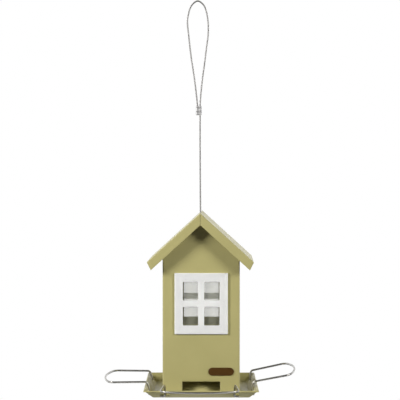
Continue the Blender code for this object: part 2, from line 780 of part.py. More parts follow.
def smooth_points(route, step):
    """Points a step apart on a smooth curve through the route."""
    knots = [Vector((x, 0, z)) for x, z in route]
    along = [0.0]
    for a, b in zip(knots, knots[1:]):
        along.append(along[-1] + (b - a).length)
    last = len(knots) - 1
    slopes = []
    for i in range(len(knots)):
        low, high = max(i - 1, 0), min(i + 1, last)
        slopes.append((knots[high] - knots[low]) / (along[high] - along[low]))
    count = math.ceil(along[-1] / step)
    points, span = [], 0
    for k in range(count + 1):
        at = along[-1] * k / count
        while span < last - 1 and at > along[span + 1]:
            span += 1
        width = along[span + 1] - along[span]
        t = (at - along[span]) / width
        a, b = knots[span], knots[span + 1]
        leave, arrive = slopes[span] * width, slopes[span + 1] * width
        points.append(
            a * (2 * t ** 3 - 3 * t ** 2 + 1) + leave * (t ** 3 - 2 * t ** 2 + t)
            + b * (3 * t ** 2 - 2 * t ** 3) + arrive * (t ** 3 - t ** 2)
        )
    return points


def make_cable(material):
    curve = wire_curve("hanging_cable", smooth_points(CABLE_ROUTE, CABLE_POINT_STEP), CABLE, 2)
    return add_object("hanging_cable", curve, material)


def make_ferrule(material):
    """The double-barrel crimp: one bore for the standing cable, one for its tail."""
    bore = CABLE / 2 + BORE_CLEARANCE
    half_d = bore + FERRULE_WALL
    half_w = half_d + BARREL_SPACING / 2
    left, right = FERRULE_CENTRE - half_w, FERRULE_CENTRE + half_w
    outline = rounded(box_outline(left, right, -half_d, half_d), [half_d * 0.95] * 4)
    top = FERRULE_BOTTOM + FERRULE_LENGTH
    bm = bmesh.new()
    add_prism(bm, outline, FERRULE_BOTTOM, top)
    ferrule = add_mesh("cable_ferrule", bm, material)
    cuts = bmesh.new()
    for x in (STAND_X, TAIL_X):
        add_prism(cuts, circle_outline(x, 0, bore), FERRULE_BOTTOM - CUT_OVER, top + CUT_OVER)
    apply_boolean(ferrule, cutter("cable_ferrule_bores", cuts), "DIFFERENCE")
    return ferrule


def make_cable_stop(material):
    top = BRACKET_TOP - BRACKET_SHEET - GAP
    bottom = top - STOP_LENGTH
    bm = bmesh.new()
    add_prism(bm, circle_outline(0, 0, STOP_RADIUS), bottom, top)
    stop = add_mesh("cable_stop", bm, material)
    cuts = bmesh.new()
    bore = circle_outline(0, 0, CABLE / 2 + BORE_CLEARANCE)
    add_prism(cuts, bore, bottom - CUT_OVER, top + CUT_OVER)
    apply_boolean(stop, cutter("cable_stop_bore", cuts), "DIFFERENCE")
    return stop


def make_hanger_bracket(material):
    """A strip across the silo, its ends folded down and riveted to the side walls."""
    reach = REAR_HALF
    inner = reach - BRACKET_SHEET
    low, top = BRACKET_TOP - BRACKET_TAB, BRACKET_TOP
    under = top - BRACKET_SHEET
    bend = BEND_INNER + BRACKET_SHEET
    corners = [
        (-reach, low), (-reach, top), (reach, top), (reach, low),
        (inner, low), (inner, under), (-inner, under), (-inner, low),
    ]
    radii = [0, bend, bend, 0, 0, BEND_INNER, BEND_INNER, 0]
    half = BRACKET_WIDTH / 2
    bm = bmesh.new()
    add_prism(bm, rounded(corners, radii), -half, half, in_elevation)
    bracket = add_mesh("hanger_bracket", bm, material)
    cuts = bmesh.new()
    bore = circle_outline(0, 0, CABLE / 2 + BORE_CLEARANCE)
    add_prism(cuts, bore, under - CUT_OVER, top + CUT_OVER)
    for hand in (-1, 1):
        ends = sorted((hand * (inner - CUT_OVER), hand * (reach + CUT_OVER)))
        add_prism(cuts, circle_outline(0, bracket_rivet_height(), RIVET_HOLE), *ends, in_side_view)
    apply_boolean(bracket, cutter("hanger_bracket_holes", cuts), "DIFFERENCE")
    return bracket


def make_rivet(name, place, axis, grip, material):
    """A domed head at place, the shank down the axis through the grip, and a flat tail."""
    profile = [
        (RIVET_HEAD_RADIUS * 0.45, -RIVET_HEAD),
        (RIVET_HEAD_RADIUS * 0.85, -RIVET_HEAD * 0.7),
        (RIVET_HEAD_RADIUS, -RIVET_HEAD * 0.2),
        (RIVET_HEAD_RADIUS, 0),
        (RIVET_RADIUS, 0),
        (RIVET_RADIUS, grip),
        (RIVET_TAIL_RADIUS, grip),
        (RIVET_TAIL_RADIUS, grip + RIVET_TAIL),
    ]
    bm = bmesh.new()
    turned(bm, profile, place, axis)
    return add_mesh(name, bm, material)


def make_base_rivet(name, x, y, material):
    """A rivet whose lower end is spread into the tray's countersink and stays above the underside."""
    head_under = HOUSE_BOTTOM + SHEET + GAP
    profile = [
        (RIVET_HEAD_RADIUS * 0.45, head_under + RIVET_HEAD),
        (RIVET_HEAD_RADIUS * 0.85, head_under + RIVET_HEAD * 0.7),
        (RIVET_HEAD_RADIUS, head_under + RIVET_HEAD * 0.2),
        (RIVET_HEAD_RADIUS, head_under),
        (RIVET_RADIUS, head_under),
        (RIVET_RADIUS, SHEET),
        (COUNTERSINK - GAP - SHEET / 8, SHEET / 8),
    ]
    bm = bmesh.new()
    turned(bm, profile, (x, y, 0), (0, 0, 1))
    return add_mesh(name, bm, material)


def make_rivets(painted, bare):
    seat = HOUSE_HALF + GAP
    names = ("left", "right")
    for hand, side in zip((-1, 1), names):
        grip = seat - (REAR_HALF - BRACKET_SHEET) + GAP
        place = (hand * seat, 0, bracket_rivet_height())
        make_rivet("bracket_rivet_" + side, place, (-hand, 0, 0), grip, painted)
        grip = seat - (REAR_HALF - SHEET) + GAP
        for number, z in enumerate(SEAM_RIVET_HEIGHTS, 1):
            place = (hand * seat, HOUSE_HALF - SEAM_RIVET_INSET, z)
            make_rivet("seam_rivet_%s_%d" % (side, number), place, (-hand, 0, 0), grip, painted)
    for number, (x, y) in enumerate(base_rivet_places(), 1):
        make_base_rivet("base_rivet_%d" % number, x, y, bare)


def make_name_plate(material):
    """A pill-shaped plate with nothing on it, on the front wall."""
    bottom, top = PLATE_BOTTOM, PLATE_BOTTOM + PLATE_HEIGHT
    outline = box_outline(PLATE_LEFT, PLATE_LEFT + PLATE_LENGTH, bottom, top)
    outline = rounded(outline, [PLATE_HEIGHT * 0.499] * 4, 6)
    back = -HOUSE_HALF - GAP
    front = back - PLATE_THICKNESS
    bm = bmesh.new()
    add_prism(bm, outline, front, back, in_elevation)
    rim = [e for e in bm.edges if all(abs(v.co.y - front) < PLATE_EDGE / 10 for v in e.verts)]
    bmesh.ops.bevel(bm, geom=rim, offset=PLATE_EDGE, segments=1, profile=0.5, affect="EDGES")
    return add_mesh("name_plate", bm, material)


def main():
    clear_scene()
    olive = finish("olive_paint", (0.42, 0.39, 0.19), 0.55, 0.0)
    painted = finish("painted_rivet", (0.42, 0.39, 0.19), 0.5, 0.0)
    galvanised = finish("galvanised_steel", (0.55, 0.55, 0.53), 0.4, 1.0)
    white = finish("white_plastic", (0.82, 0.83, 0.84), 0.35, 0.0)
    clear = finish("clear_plastic", (0.85, 0.87, 0.86), 0.08, 0.0)
    wire = finish("bright_wire", (0.50, 0.49, 0.47), 0.25, 1.0)
    rope = finish("wire_rope", (0.60, 0.60, 0.60), 0.4, 1.0)
    aluminium = finish("soft_aluminium", (0.62, 0.62, 0.62), 0.45, 1.0)
    brown = finish("brown_plate", (0.07, 0.035, 0.015), 0.4, 0.0)

    make_tray(olive)
    make_seed_deflector(olive)
    make_body_shell(olive)
    make_rear_panel(olive)
    make_roof(olive)
    for name, y, outward in (("front", -HOUSE_HALF, -1), ("rear", HOUSE_HALF, 1)):
        make_window_frame("window_frame_" + name, y, outward, white)
        make_pane("window_pane_" + name, y, outward, clear)
    make_perches(wire)
    make_hanger_bracket(galvanised)
    make_cable_stop(aluminium)
    make_cable(rope)
    make_ferrule(aluminium)
    make_rivets(painted, galvanised)
    make_name_plate(brown)


main()
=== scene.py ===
"""Looks of a hanging house-shaped bird feeder in painted sheet, wire and clear plastic.

Metres, +Z up, the front faces -Y. Each function makes one kind of piece or one finish.
A sheet is an array of rows (x, y, z, and the outward normal), worked out on a grid of two parameters.
"""

import math

import bpy
import numpy as np
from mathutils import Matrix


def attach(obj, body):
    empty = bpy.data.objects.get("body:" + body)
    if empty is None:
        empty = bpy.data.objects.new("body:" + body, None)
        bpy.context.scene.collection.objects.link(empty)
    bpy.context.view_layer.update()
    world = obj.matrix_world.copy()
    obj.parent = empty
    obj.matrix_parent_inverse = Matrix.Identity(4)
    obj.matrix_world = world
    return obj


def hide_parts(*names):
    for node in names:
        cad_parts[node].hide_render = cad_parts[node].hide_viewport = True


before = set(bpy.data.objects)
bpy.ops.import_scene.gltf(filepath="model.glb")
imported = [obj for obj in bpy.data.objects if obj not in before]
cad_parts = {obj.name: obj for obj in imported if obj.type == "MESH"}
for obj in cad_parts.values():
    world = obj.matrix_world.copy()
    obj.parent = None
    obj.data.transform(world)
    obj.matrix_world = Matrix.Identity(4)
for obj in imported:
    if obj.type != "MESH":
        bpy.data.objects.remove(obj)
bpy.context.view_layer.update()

# Sheet and clearances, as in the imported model
SHEET = 0.0008
DEFLECTOR_SHEET = 0.0006
GAP = 0.0003
BEND_INNER = 0.0008
WELD = 0.00002
EDGE_ROUND = 0.00014

# Tray
TRAY_BASE = 0.122
TRAY_LIP = 0.145
TRAY_HEIGHT = 0.0116
TRAY_CORNER = 0.0016
LIP_TURN_DOWN = 0.0028
LIP_BEND = 0.0005
DRAIN_RADIUS = 0.0022
DRAIN_PITCH = 0.1072
PERCH_SLOT_WIDTH = 0.0076
PERCH_SLOT_HEIGHT = 0.0052
PERCH_SLOT_CORNER = 0.0012

# House
HOUSE_HALF = 0.049
HOUSE_BOTTOM = 0.0020
SLOT_HALF = 0.024
SLOT_TOP = 0.0183
TAB_INNER = 0.027
TAB_OUTER = 0.045
TAB_DEPTH = 0.012
RETURN_DEPTH = 0.012
REAR_HALF = 0.0479
WALL_GRID = 0.004
EVEN_HEIGHT = 0.176

# Roof
RIDGE_HEIGHT = 0.2326
EAVE_HEIGHT = 0.171
ROOF_HALF = 0.0676
ROOF_HALF_DEPTH = 0.063
ROOF_SLOPE = math.atan2(RIDGE_HEIGHT - EAVE_HEIGHT, ROOF_HALF)
FASCIA_DEPTH = 0.011
FASCIA_FOLD = 0.0008
EAVE_FLAP_LEAN = math.radians(27)
ROOF_BEND = 0.0014
ROOF_GRID = 0.0042
FASCIA_TUCK = 0.0022
SLIT = 0.0004
CABLE_HOLE_RADIUS = 0.0032
LID_TURN = math.radians(-1.0)
LID_CLEARANCE = GAP + HOUSE_HALF * abs(math.sin(LID_TURN)) * math.sin(ROOF_SLOPE)

# Window
FRAME_HALF_WIDTH = 0.0338
FRAME_HALF_HEIGHT = 0.0388
FRAME_CENTRE_HEIGHT = 0.1176
FRAME_THICKNESS = 0.0018
FRAME_SIDE = 0.0105
FRAME_RAIL = 0.011
BAR_UPRIGHT = 0.0076
BAR_CROSS = 0.008
LIGHT_CORNER = 0.0012
PANE_THICKNESS = 0.001
PIN_RADIUS = 0.0015
PIN_HEAD_RADIUS = 0.0026
PANE_MARGIN = 0.0018
RIM_STEPS = (0, 0.00012, 0.00035, 0.0007, 0.0011, 0.0015)

# Seed deflector
DEFLECTOR_RADIUS = 0.0385
DEFLECTOR_PEAK = 0.022
DEFLECTOR_TOP_ANGLE = math.radians(13)
DEFLECTOR_SETBACK = 0.0007
DEFLECTOR_FLANGE = HOUSE_HALF - DEFLECTOR_SETBACK
DEFLECTOR_BEND = 0.0012
DOME_ANGLES = np.radians([*range(6, 78, 4), 80])

# Perches
WIRE = 0.0025
WIRE_END = np.array([0, 0.00006, 0.0002, 0.0005])
PERCH_PIVOT_HEIGHT = 0.005
PERCH_ARM_HEIGHT = 0.017
PERCH_BEND_REACH = 0.0692
PERCH_CORNER_REACH = 0.1165
PERCH_TIP_REACH = 0.1252
PERCH_HOOK_HALF = 0.0437
PERCH_BEND_HALF = 0.0443
PERCH_CORNER_HALF = 0.048
PERCH_HOOK_DROP = 0.0029
PERCH_HOOK_LENGTH = 0.006
PERCH_LEG_RISE = 0.0034
PERCH_HOOK_RADIUS = 0.0022
PERCH_BEND_RADIUS = 0.004
PERCH_CORNER_RADIUS = 0.009
FRONT_PERCH_SHIFT = -0.0018
RIGHT_PERCH_TILT = math.radians(11.5)

# Cable and what holds it
CABLE = 0.002
CABLE_STEP = 0.0005
STRANDS = 6
STRAND_LAY = 0.013
FERRULE_BOTTOM = 0.3585
FERRULE_LENGTH = 0.012
FERRULE_CENTRE = -0.0032
BARREL_SPACING = 0.0034
SQUEEZED_AT = (0.0034, 0.0086)
STAND_X = FERRULE_CENTRE + BARREL_SPACING / 2
TAIL_X = FERRULE_CENTRE - BARREL_SPACING / 2
BRACKET_TOP = 0.1775
BRACKET_SHEET = 0.0015
BRACKET_HALF = 0.007
BRACKET_TAB = 0.014
STOP_RADIUS = 0.003
STOP_LENGTH = 0.008

# Rivets
RIVET_HEAD_RADIUS = 0.0027
RIVET_HEAD = 0.0009
RIVET_RADIUS = 0.0014
RIVET_TAIL_RADIUS = 0.0022
RIVET_CROWN_ANGLE = 0.12
SEAM_RIVET_HEIGHTS = (0.040, 0.100, 0.160)
SEAM_RIVET_Y = 0.0422
BASE_RIVET_X = 0.036
BRACKET_RIVET_HEIGHT = BRACKET_TOP - BRACKET_TAB * 0.6

# Name plate, bare
PLATE_LEFT = 0.009
PLATE_LENGTH = 0.0325
PLATE_BOTTOM = 0.026
PLATE_HEIGHT = 0.0101

# The cable's route at y = 0 as (x, z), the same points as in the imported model
CABLE_ROUTE = (
    (0.0, 0.1680), (0.0, 0.1800), (-0.0003, 0.2000), (-0.0009, 0.2320), (-0.0013, 0.2800),
    (STAND_X, 0.3300), (STAND_X, 0.3500), (STAND_X, 0.3600), (STAND_X, 0.3710), (-0.0003, 0.3880),
    (0.0020, 0.4090), (0.0045, 0.4270), (0.0067, 0.4450), (0.0087, 0.4600), (0.0092, 0.4720),
    (0.0085, 0.4830), (0.0066, 0.4930), (0.0030, 0.5015), (-0.0047, 0.5066), (-0.0127, 0.5005),
    (-0.0168, 0.4888), (-0.0179, 0.4780), (-0.0166, 0.4640), (-0.0130, 0.4330), (-0.0100, 0.4139),
    (-0.0070, 0.3910), (TAIL_X, 0.3710), (TAIL_X, 0.3640), (TAIL_X, 0.3592),
)

# Camera and floor
CAMERA_PLACE = (0.0023, -1.649, 0.287)
CAMERA_LENS = 113.76
CAMERA_TILT = math.radians(90 - 1.36)
CAMERA_TURN = math.radians(0.136)
FLOOR_HEIGHT = -0.8
FLOOR_RINGS = (0.05, 0.4, 1.0, 2.0, 3.0)

# Light
WARM = (1.0, 0.985, 0.95)
NEUTRAL = (1.0, 1.0, 1.0)
LOW_WARM = (1.0, 1.0, 0.97)


# Camera


def make_camera():
    """The photograph's view: 1.65 m in front and a little above the ridge, looking down by a degree."""
    data = bpy.data.cameras.new("photo_camera")
    data.sensor_width = 36
    data.lens = CAMERA_LENS
    camera = bpy.data.objects.new("photo_camera", data)
    camera.location = CAMERA_PLACE
    camera.rotation_euler = (CAMERA_TILT, 0, CAMERA_TURN)
    bpy.context.scene.collection.objects.link(camera)
    bpy.context.scene.camera = camera


# Sheets as arrays


def run(low, high, step, *stops):
    """Values from low to high that take in the stops, with no gap wider than step."""
    marks = np.unique(np.round([low, high, *stops], 9))
    spans = [np.linspace(a, b, math.ceil((b - a) / step) + 1)[:-1] for a, b in zip(marks, marks[1:])]
    return np.append(np.concatenate(spans), marks[-1])


def bent(corners, radii, steps=6):
    """A line folded at its inner corners, as rows (u, v, normal u, normal v), the normal on its left.

    Each fold is an arc that touches both straights, its normal turning evenly from one to the other.
    """
    at = np.array(corners, float)
    way = np.diff(at, axis=0)
    way /= np.linalg.norm(way, axis=1)[:, None]
    side = np.stack([-way[:, 1], way[:, 0]], axis=1)
    rows = [np.hstack([at[0], side[0]])[None]]
    for i, radius in enumerate(radii, 1):
        cross = way[i - 1, 0] * way[i, 1] - way[i - 1, 1] * way[i, 0]
        turn = math.atan2(cross, way[i - 1] @ way[i])
        signed = math.copysign(radius, turn)
        start = at[i] - way[i - 1] * radius * math.tan(abs(turn) / 2)
        angle = np.linspace(0, turn, steps + 1)[:, None]
        normal = side[i - 1] * np.cos(angle) - way[i - 1] * np.sin(angle)
        rows.append(np.hstack([start + side[i - 1] * signed - normal * signed, normal]))
    rows.append(np.hstack([at[-1], side[-1]])[None])
    return np.vstack(rows)


def lengths_along(path):
    """The distance along a path of points, at each of them."""
    return np.append(0, np.cumsum(np.linalg.norm(np.diff(path, axis=0), axis=1)))


def closer(line, step, *stops):
    """A folded line again with points along its straights too, the stops measured along it."""
    along = lengths_along(line[:, :2])
    places = run(0, along[-1], step, *along, *stops)
    return np.stack([np.interp(places, along, line[:, k]) for k in range(4)], axis=1)


def carried(line, places):
    """A line (x, z, normal x, normal z) carried along y, as a grid with a column at each place."""
    grid = np.zeros((len(line), len(places), 6))
    grid[..., [0, 2, 3, 5]] = line[:, None]
    grid[..., 1] = places
    return grid


def spun(points, angle):
    """Points turned about the z axis."""
    c, s = math.cos(angle), math.sin(angle)
    return points @ np.array([(c, s, 0), (-s, c, 0), (0, 0, 1)])


def grid_of(grid, round_again=False, keep=None):
    """The points of a grid of rows and columns, and its quads; keep says which quads stay."""
    rows, columns, width = grid.shape
    index = np.arange(rows * columns).reshape(rows, columns)
    if round_again:
        index = np.hstack([index, index[:, :1]])
    quads = np.stack([index[:-1, :-1], index[:-1, 1:], index[1:, 1:], index[1:, :-1]], axis=-1)
    points = grid.reshape(-1, width)
    quads = quads.reshape(-1, 4)
    if keep is not None:
        middle = points[quads, :3].mean(axis=1)
        quads = quads[keep(middle[:, 0], middle[:, 1], middle[:, 2])]
    return points, quads


def welded(*parts):
    """Several grids as one sheet: points that fall together are one point, their normals averaged."""
    points = np.vstack([p for p, _ in parts])
    starts = np.cumsum([0] + [len(p) for p, _ in parts[:-1]])
    quads = np.vstack([q + start for (_, q), start in zip(parts, starts)])
    used = np.unique(quads)
    keys = np.floor(points[used, :3] / WELD + 0.37).astype(np.int64)
    _, first, where = np.unique(keys, axis=0, return_index=True, return_inverse=True)
    place = np.zeros(len(points), np.int64)
    place[used] = where.ravel()
    merged = points[used][first].copy()
    if points.shape[1] == 6:
        total = np.zeros((len(first), 3))
        np.add.at(total, where.ravel(), points[used, 3:])
        merged[:, 3:] = total / np.linalg.norm(total, axis=1)[:, None]
    return merged, place[quads]


def mirrored(part, axis):
    """A sheet and its mirror image across the plane where the axis is zero, as two parts."""
    points, quads = part
    other = points.copy()
    other[:, axis] *= -1
    if points.shape[1] == 6:
        other[:, axis + 3] *= -1
    return [part, (other, quads[:, ::-1])]


def bridged(points, quads, other):
    """A closed body between a sheet and its other side: each open edge gets one wall between the two."""
    count = len(points)
    edges = np.stack([quads, np.roll(quads, -1, axis=1)], axis=-1).reshape(-1, 2)
    low, high = edges.min(axis=1), edges.max(axis=1)
    _, where, times = np.unique(low * count + high, return_inverse=True, return_counts=True)
    rim = edges[times[where.ravel()] == 1]
    walls = np.stack([rim[:, 1], rim[:, 0], rim[:, 0] + count, rim[:, 1] + count], axis=-1)
    return np.vstack([points[:, :3], other[:, :3]]), np.vstack([quads, quads[:, ::-1] + count, walls])


def thickened(points, quads, thickness):
    """The sheet with half its thickness on either side, along its normals."""
    half = points[:, 3:] * (thickness / 2)
    return bridged(points[:, :3] + half, quads, points[:, :3] - half)


def volume(points, triangles):
    """Six times the volume inside a closed mesh, positive when its faces point out."""
    a, b, c = (points[triangles[:, k]] for k in range(3))
    return np.einsum("ij,ij->i", a, np.cross(b, c)).sum()


def new_piece(name, points, quads, finish, caps=(), smooth=38):
    """A mesh object from arrays, with its faces outwards, round faces smooth and folds sharp."""
    mesh = bpy.data.meshes.new(name)
    mesh.from_pydata(points[:, :3].tolist(), [], quads.tolist() + [list(cap) for cap in caps])
    mesh.materials.append(finish)
    faces_outwards(mesh)
    mesh.shade_smooth()
    mesh.set_sharp_from_angle(angle=math.radians(smooth))
    piece = bpy.data.objects.new(name, mesh)
    bpy.context.scene.collection.objects.link(piece)
    return piece


def faces_outwards(mesh):
    """Turns the whole mesh round where the volume inside it comes out negative."""
    mesh.calc_loop_triangles()
    co = np.empty(len(mesh.vertices) * 3)
    mesh.vertices.foreach_get("co", co)
    triangles = np.empty(len(mesh.loop_triangles) * 3, np.int32)
    mesh.loop_triangles.foreach_get("vertices", triangles)
    if volume(co.reshape(-1, 3), triangles.reshape(-1, 3)) < 0:
        mesh.flip_normals()


def settled(piece, cutters=(), rounding=EDGE_ROUND, smooth=38):
    """Cuts the holes, rounds the cut edges finely, and keeps the result as the piece's own mesh."""
    for cutter in cutters:
        cut = piece.modifiers.new(cutter.name, "BOOLEAN")
        cut.operation = "DIFFERENCE"
        cut.solver = "EXACT"
        cut.object = cutter
    edge = piece.modifiers.new("edges", "BEVEL")
    edge.width = rounding
    edge.segments = 2
    edge.limit_method = "ANGLE"
    edge.angle_limit = math.radians(50)
    edge.use_clamp_overlap = True
    bpy.context.view_layer.update()
    shown = piece.evaluated_get(bpy.context.evaluated_depsgraph_get())
    mesh = bpy.data.meshes.new_from_object(shown)
    piece.modifiers.clear()
    old = piece.data
    piece.data = mesh
    bpy.data.meshes.remove(old)
    mesh.name = piece.name
    mesh.shade_smooth()
    mesh.set_sharp_from_angle(angle=math.radians(smooth))
    for cutter in cutters:
        bpy.data.meshes.remove(cutter.data)
    mark_edges(mesh)
    return piece


def mark_edges(mesh):
    """Stores a mask on each point: 1 where two faces that meet there turn by 35 degrees or more. The
    finishes paint these edges paler, partly as abrasion and partly as a painted highlight.
    """
    count = len(mesh.polygons)
    normals = np.empty(count * 3)
    mesh.polygons.foreach_get("normal", normals)
    normals = normals.reshape(-1, 3)
    loops = len(mesh.loops)
    loop_edge = np.empty(loops, np.int32)
    mesh.loops.foreach_get("edge_index", loop_edge)
    sizes = np.empty(count, np.int32)
    mesh.polygons.foreach_get("loop_total", sizes)
    face = np.repeat(np.arange(count), sizes)
    order = np.argsort(loop_edge, kind="stable")
    same = loop_edge[order][1:] == loop_edge[order][:-1]
    a, b = face[order][:-1][same], face[order][1:][same]
    sharp = np.einsum("ij,ij->i", normals[a], normals[b]) < math.cos(math.radians(35))
    ends = np.empty(len(mesh.edges) * 2, np.int32)
    mesh.edges.foreach_get("vertices", ends)
    rub = np.zeros(len(mesh.vertices), np.float32)
    rub[ends.reshape(-1, 2)[loop_edge[order][:-1][same][sharp]].ravel()] = 1
    layer = mesh.attributes.new("edge_rub_and_highlight", "FLOAT", "POINT")
    layer.data.foreach_set("value", rub)


def placed(piece, body, slot_name, *nodes):
    """The piece rides on its body and stands for the nodes, which it hides. The slot name is not used."""
    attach(piece, body)
    if nodes:
        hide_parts(*nodes)
    return piece


# Round pieces


def round_angles(count):
    """Angles that part a full turn evenly."""
    return np.arange(count) * (2 * math.pi / count)


def closed_rings(grid):
    """The points and quads of a grid whose rows are rings, and the two caps that close it."""
    points, quads = grid_of(grid, round_again=True)
    sides, count = grid.shape[1], len(points)
    return points, quads, [range(sides)[::-1], range(count - sides, count)]


def turned(profile, centre, axis, sides=24):
    """Rings round an axis: each row of the profile is (radius, distance along the axis)."""
    along = np.array(axis, float)
    across = np.cross(along, (0.3, 0.5, 0.8))
    across /= np.linalg.norm(across)
    up = np.cross(along, across)
    angle = round_angles(sides)
    ring = np.cos(angle)[:, None] * across + np.sin(angle)[:, None] * up
    radius, distance = np.array(profile, float).T
    grid = radius[:, None, None] * ring + distance[:, None, None] * along + np.array(centre, float)
    return closed_rings(grid)


def turned_piece(name, profile, centre, axis, finish, sides=24, smooth=38):
    """A mesh object of its own from a turned profile, closed at both ends."""
    points, quads, caps = turned(profile, centre, axis, sides)
    return new_piece(name, points, quads, finish, caps, smooth)


def directions_across(path, steady):
    """Two directions across a path at each of its points, the first square to steady."""
    way = np.gradient(path, axis=0)
    way /= np.linalg.norm(way, axis=1)[:, None]
    first = np.cross(np.array(steady, float), way)
    first /= np.linalg.norm(first, axis=1)[:, None]
    return first, np.cross(way, first)


def tube(path, radii, steady, sides, lobes=None):
    """A round wire along a path: a ring at each point, its radius scaled by the lobes if any."""
    first, second = directions_across(path, steady)
    angle = round_angles(sides)
    radius = np.broadcast_to(np.asarray(radii, float)[:, None], (len(path), sides))
    if lobes is not None:
        radius = radius * lobes(angle)
    across = np.cos(angle)[:, None] * first[:, None] + np.sin(angle)[:, None] * second[:, None]
    return closed_rings(path[:, None] + radius[..., None] * across)


def store_run(piece, path, sides):
    """A UV map on a tube: metres along it and turns round it, with its own seam."""
    along = lengths_along(path)
    mesh = piece.data
    loops = np.empty(len(mesh.loops), np.int32)
    mesh.loops.foreach_get("vertex_index", loops)
    sizes = np.empty(len(mesh.polygons), np.int32)
    mesh.polygons.foreach_get("loop_total", sizes)
    ring, place = loops // sides, loops % sides
    face = np.repeat(np.arange(len(sizes)), sizes)
    wraps = np.zeros(len(sizes), bool)
    np.logical_or.at(wraps, face, place == sides - 1)
    first = np.zeros(len(sizes), bool)
    np.logical_or.at(first, face, place == 0)
    over = (wraps & first & (sizes == 4))[face] & (place == 0)
    uv = np.stack([along[ring], (place + sides * over) / sides], axis=1)
    layer = mesh.uv_layers.new(name="run")
    layer.data.foreach_set("uv", uv.astype(np.float32).ravel())


# Node groups and finishes


groups = {}


def group(name, inputs, outputs):
    """A new shader node group with the given sockets; returns its tree and the sockets at its ends."""
    tree = bpy.data.node_groups.new(name, "ShaderNodeTree")
    kinds = {"v": "NodeSocketVector", "f": "NodeSocketFloat", "c": "NodeSocketColor"}
    for label, kind in inputs:
        tree.interface.new_socket(label, in_out="INPUT", socket_type=kinds[kind])
    for label, kind in outputs:
        tree.interface.new_socket(label, in_out="OUTPUT", socket_type=kinds[kind])
    groups[name] = tree
    return tree, tree.nodes.new("NodeGroupInput").outputs, tree.nodes.new("NodeGroupOutput").inputs


def set_sockets(tree, inputs, **values):
    """Links or sets each named input; a name such as _0 is the input of that number."""
    for key, value in values.items():
        number = key[1:]
        into = inputs[int(number)] if number.isdigit() else inputs[key.replace("_", " ")]
        if isinstance(value, bpy.types.NodeSocket):
            tree.links.new(value, into)
        else:
            into.default_value = value


def node(tree, kind, settings=None, **sockets):
    """A node with its settings, each named socket linked to another's output or given a value."""
    made = tree.nodes.new("ShaderNode" + kind)
    for key, value in (settings or {}).items():
        setattr(made, key, value)
    set_sockets(tree, made.inputs, **sockets)
    return made


def placed_group(tree, name, **sockets):
    """A shared effect in one material, with this material's own values."""
    made = tree.nodes.new("ShaderNodeGroup")
    made.node_tree = groups[name]
    set_sockets(tree, made.inputs, **sockets)
    return made.outputs


def noise(tree, place, **values):
    """The grey of a noise texture at a place."""
    return node(tree, "TexNoise", _0=place, **values).outputs[0]


def maths(tree, operation, a, b=0.0, clamp=False):
    return node(tree, "Math", {"operation": operation, "use_clamp": clamp}, _0=a, _1=b).outputs[0]


def times(tree, a, b, clamp=False):
    return maths(tree, "MULTIPLY", a, b, clamp)


def plus(tree, value, extra, share, clamp=False):
    """A value with a share of another one added to it."""
    return maths(tree, "ADD", value, times(tree, extra, share), clamp)


def scaled(tree, vector, by):
    """A vector multiplied by one number that may be a socket."""
    return node(tree, "VectorMath", {"operation": "SCALE"}, _0=vector, Scale=by).outputs[0]


def between(tree, value, low, high, to_low=0.0, to_high=1.0):
    """A value's way from low to high turned into to_low to to_high, held at the ends."""
    made = node(tree, "MapRange", {"clamp": True}, _0=value, _1=low, _2=high, _3=to_low, _4=to_high)
    return made.outputs[0]


def mixed(tree, share, a, b):
    """Two colours mixed by a share."""
    return node(tree, "Mix", {"data_type": "RGBA"}, _0=share, _6=a, _7=b).outputs[2]


def build_groups():
    """The effects that several finishes share."""
    tree, inside, out = group(
        "orange_peel", [("Vector", "v"), ("Cells per metre", "f")], [("Height", "f"), ("Mottle", "f")]
    )
    place = scaled(tree, inside[0], inside[1])
    coarse = noise(tree, place, Scale=1.0, Detail=1.0, Roughness=0.4)
    fine = noise(tree, place, Scale=2.7, Detail=2.0, Roughness=0.5)
    tree.links.new(plus(tree, times(tree, coarse, 0.65), fine, 0.35), out[0])
    tree.links.new(between(tree, fine, 0.3, 0.7), out[1])

    tree, inside, out = group(
        "tone_drift",
        [("Vector", "v"), ("Colour", "c"), ("Depth", "f"), ("Scale", "f")],
        [("Colour", "c")],
    )
    wide = noise(tree, scaled(tree, inside[0], inside[3]), Scale=1.0, Detail=3.0)
    darker = node(tree, "HueSaturation", Value=0.72, Saturation=1.08, Color=inside[1]).outputs[0]
    share = times(tree, between(tree, wide, 0.35, 0.7), inside[2])
    tree.links.new(mixed(tree, share, inside[1], darker), out[0])

    # Paler edges: partly abrasion chips, partly a painted highlight along folds and rims
    tree, inside, out = group(
        "edge_wear_and_highlight", [("Vector", "v"), ("Edge", "f"), ("Amount", "f")], [("Mask", "f")]
    )
    chips = noise(tree, inside[0], Scale=420.0, Detail=4.0, Roughness=0.65)
    rubbed_and_highlit = times(tree, inside[1], between(tree, chips, 0.42, 0.62))
    tree.links.new(times(tree, rubbed_and_highlit, inside[2], clamp=True), out[0])

    tree, inside, out = group(
        "fine_scratches", [("Vector", "v"), ("Stretch", "v"), ("Amount", "f")], [("Mask", "f")]
    )
    long_way = node(tree, "VectorMath", {"operation": "MULTIPLY"}, _0=inside[0], _1=inside[1])
    lines = noise(tree, long_way.outputs[0], Scale=1.0, Detail=3.0, Roughness=0.7)
    tree.links.new(times(tree, between(tree, lines, 0.55, 0.75), inside[2], clamp=True), out[0])

    tree, inside, out = group(
        "dust",
        [("Vector", "v"), ("Colour", "c"), ("Dust", "c"), ("Amount", "f")],
        [("Colour", "c"), ("Mask", "f")],
    )
    upward = node(tree, "SeparateXYZ", _0=node(tree, "NewGeometry").outputs["Normal"]).outputs[2]
    specks = noise(tree, inside[0], Scale=900.0, Detail=3.0, Roughness=0.6)
    lies = times(tree, between(tree, upward, 0.2, 1.0), between(tree, specks, 0.35, 0.7))
    mask = times(tree, lies, inside[3], clamp=True)
    tree.links.new(mixed(tree, mask, inside[1], inside[2]), out[0])
    tree.links.new(mask, out[1])


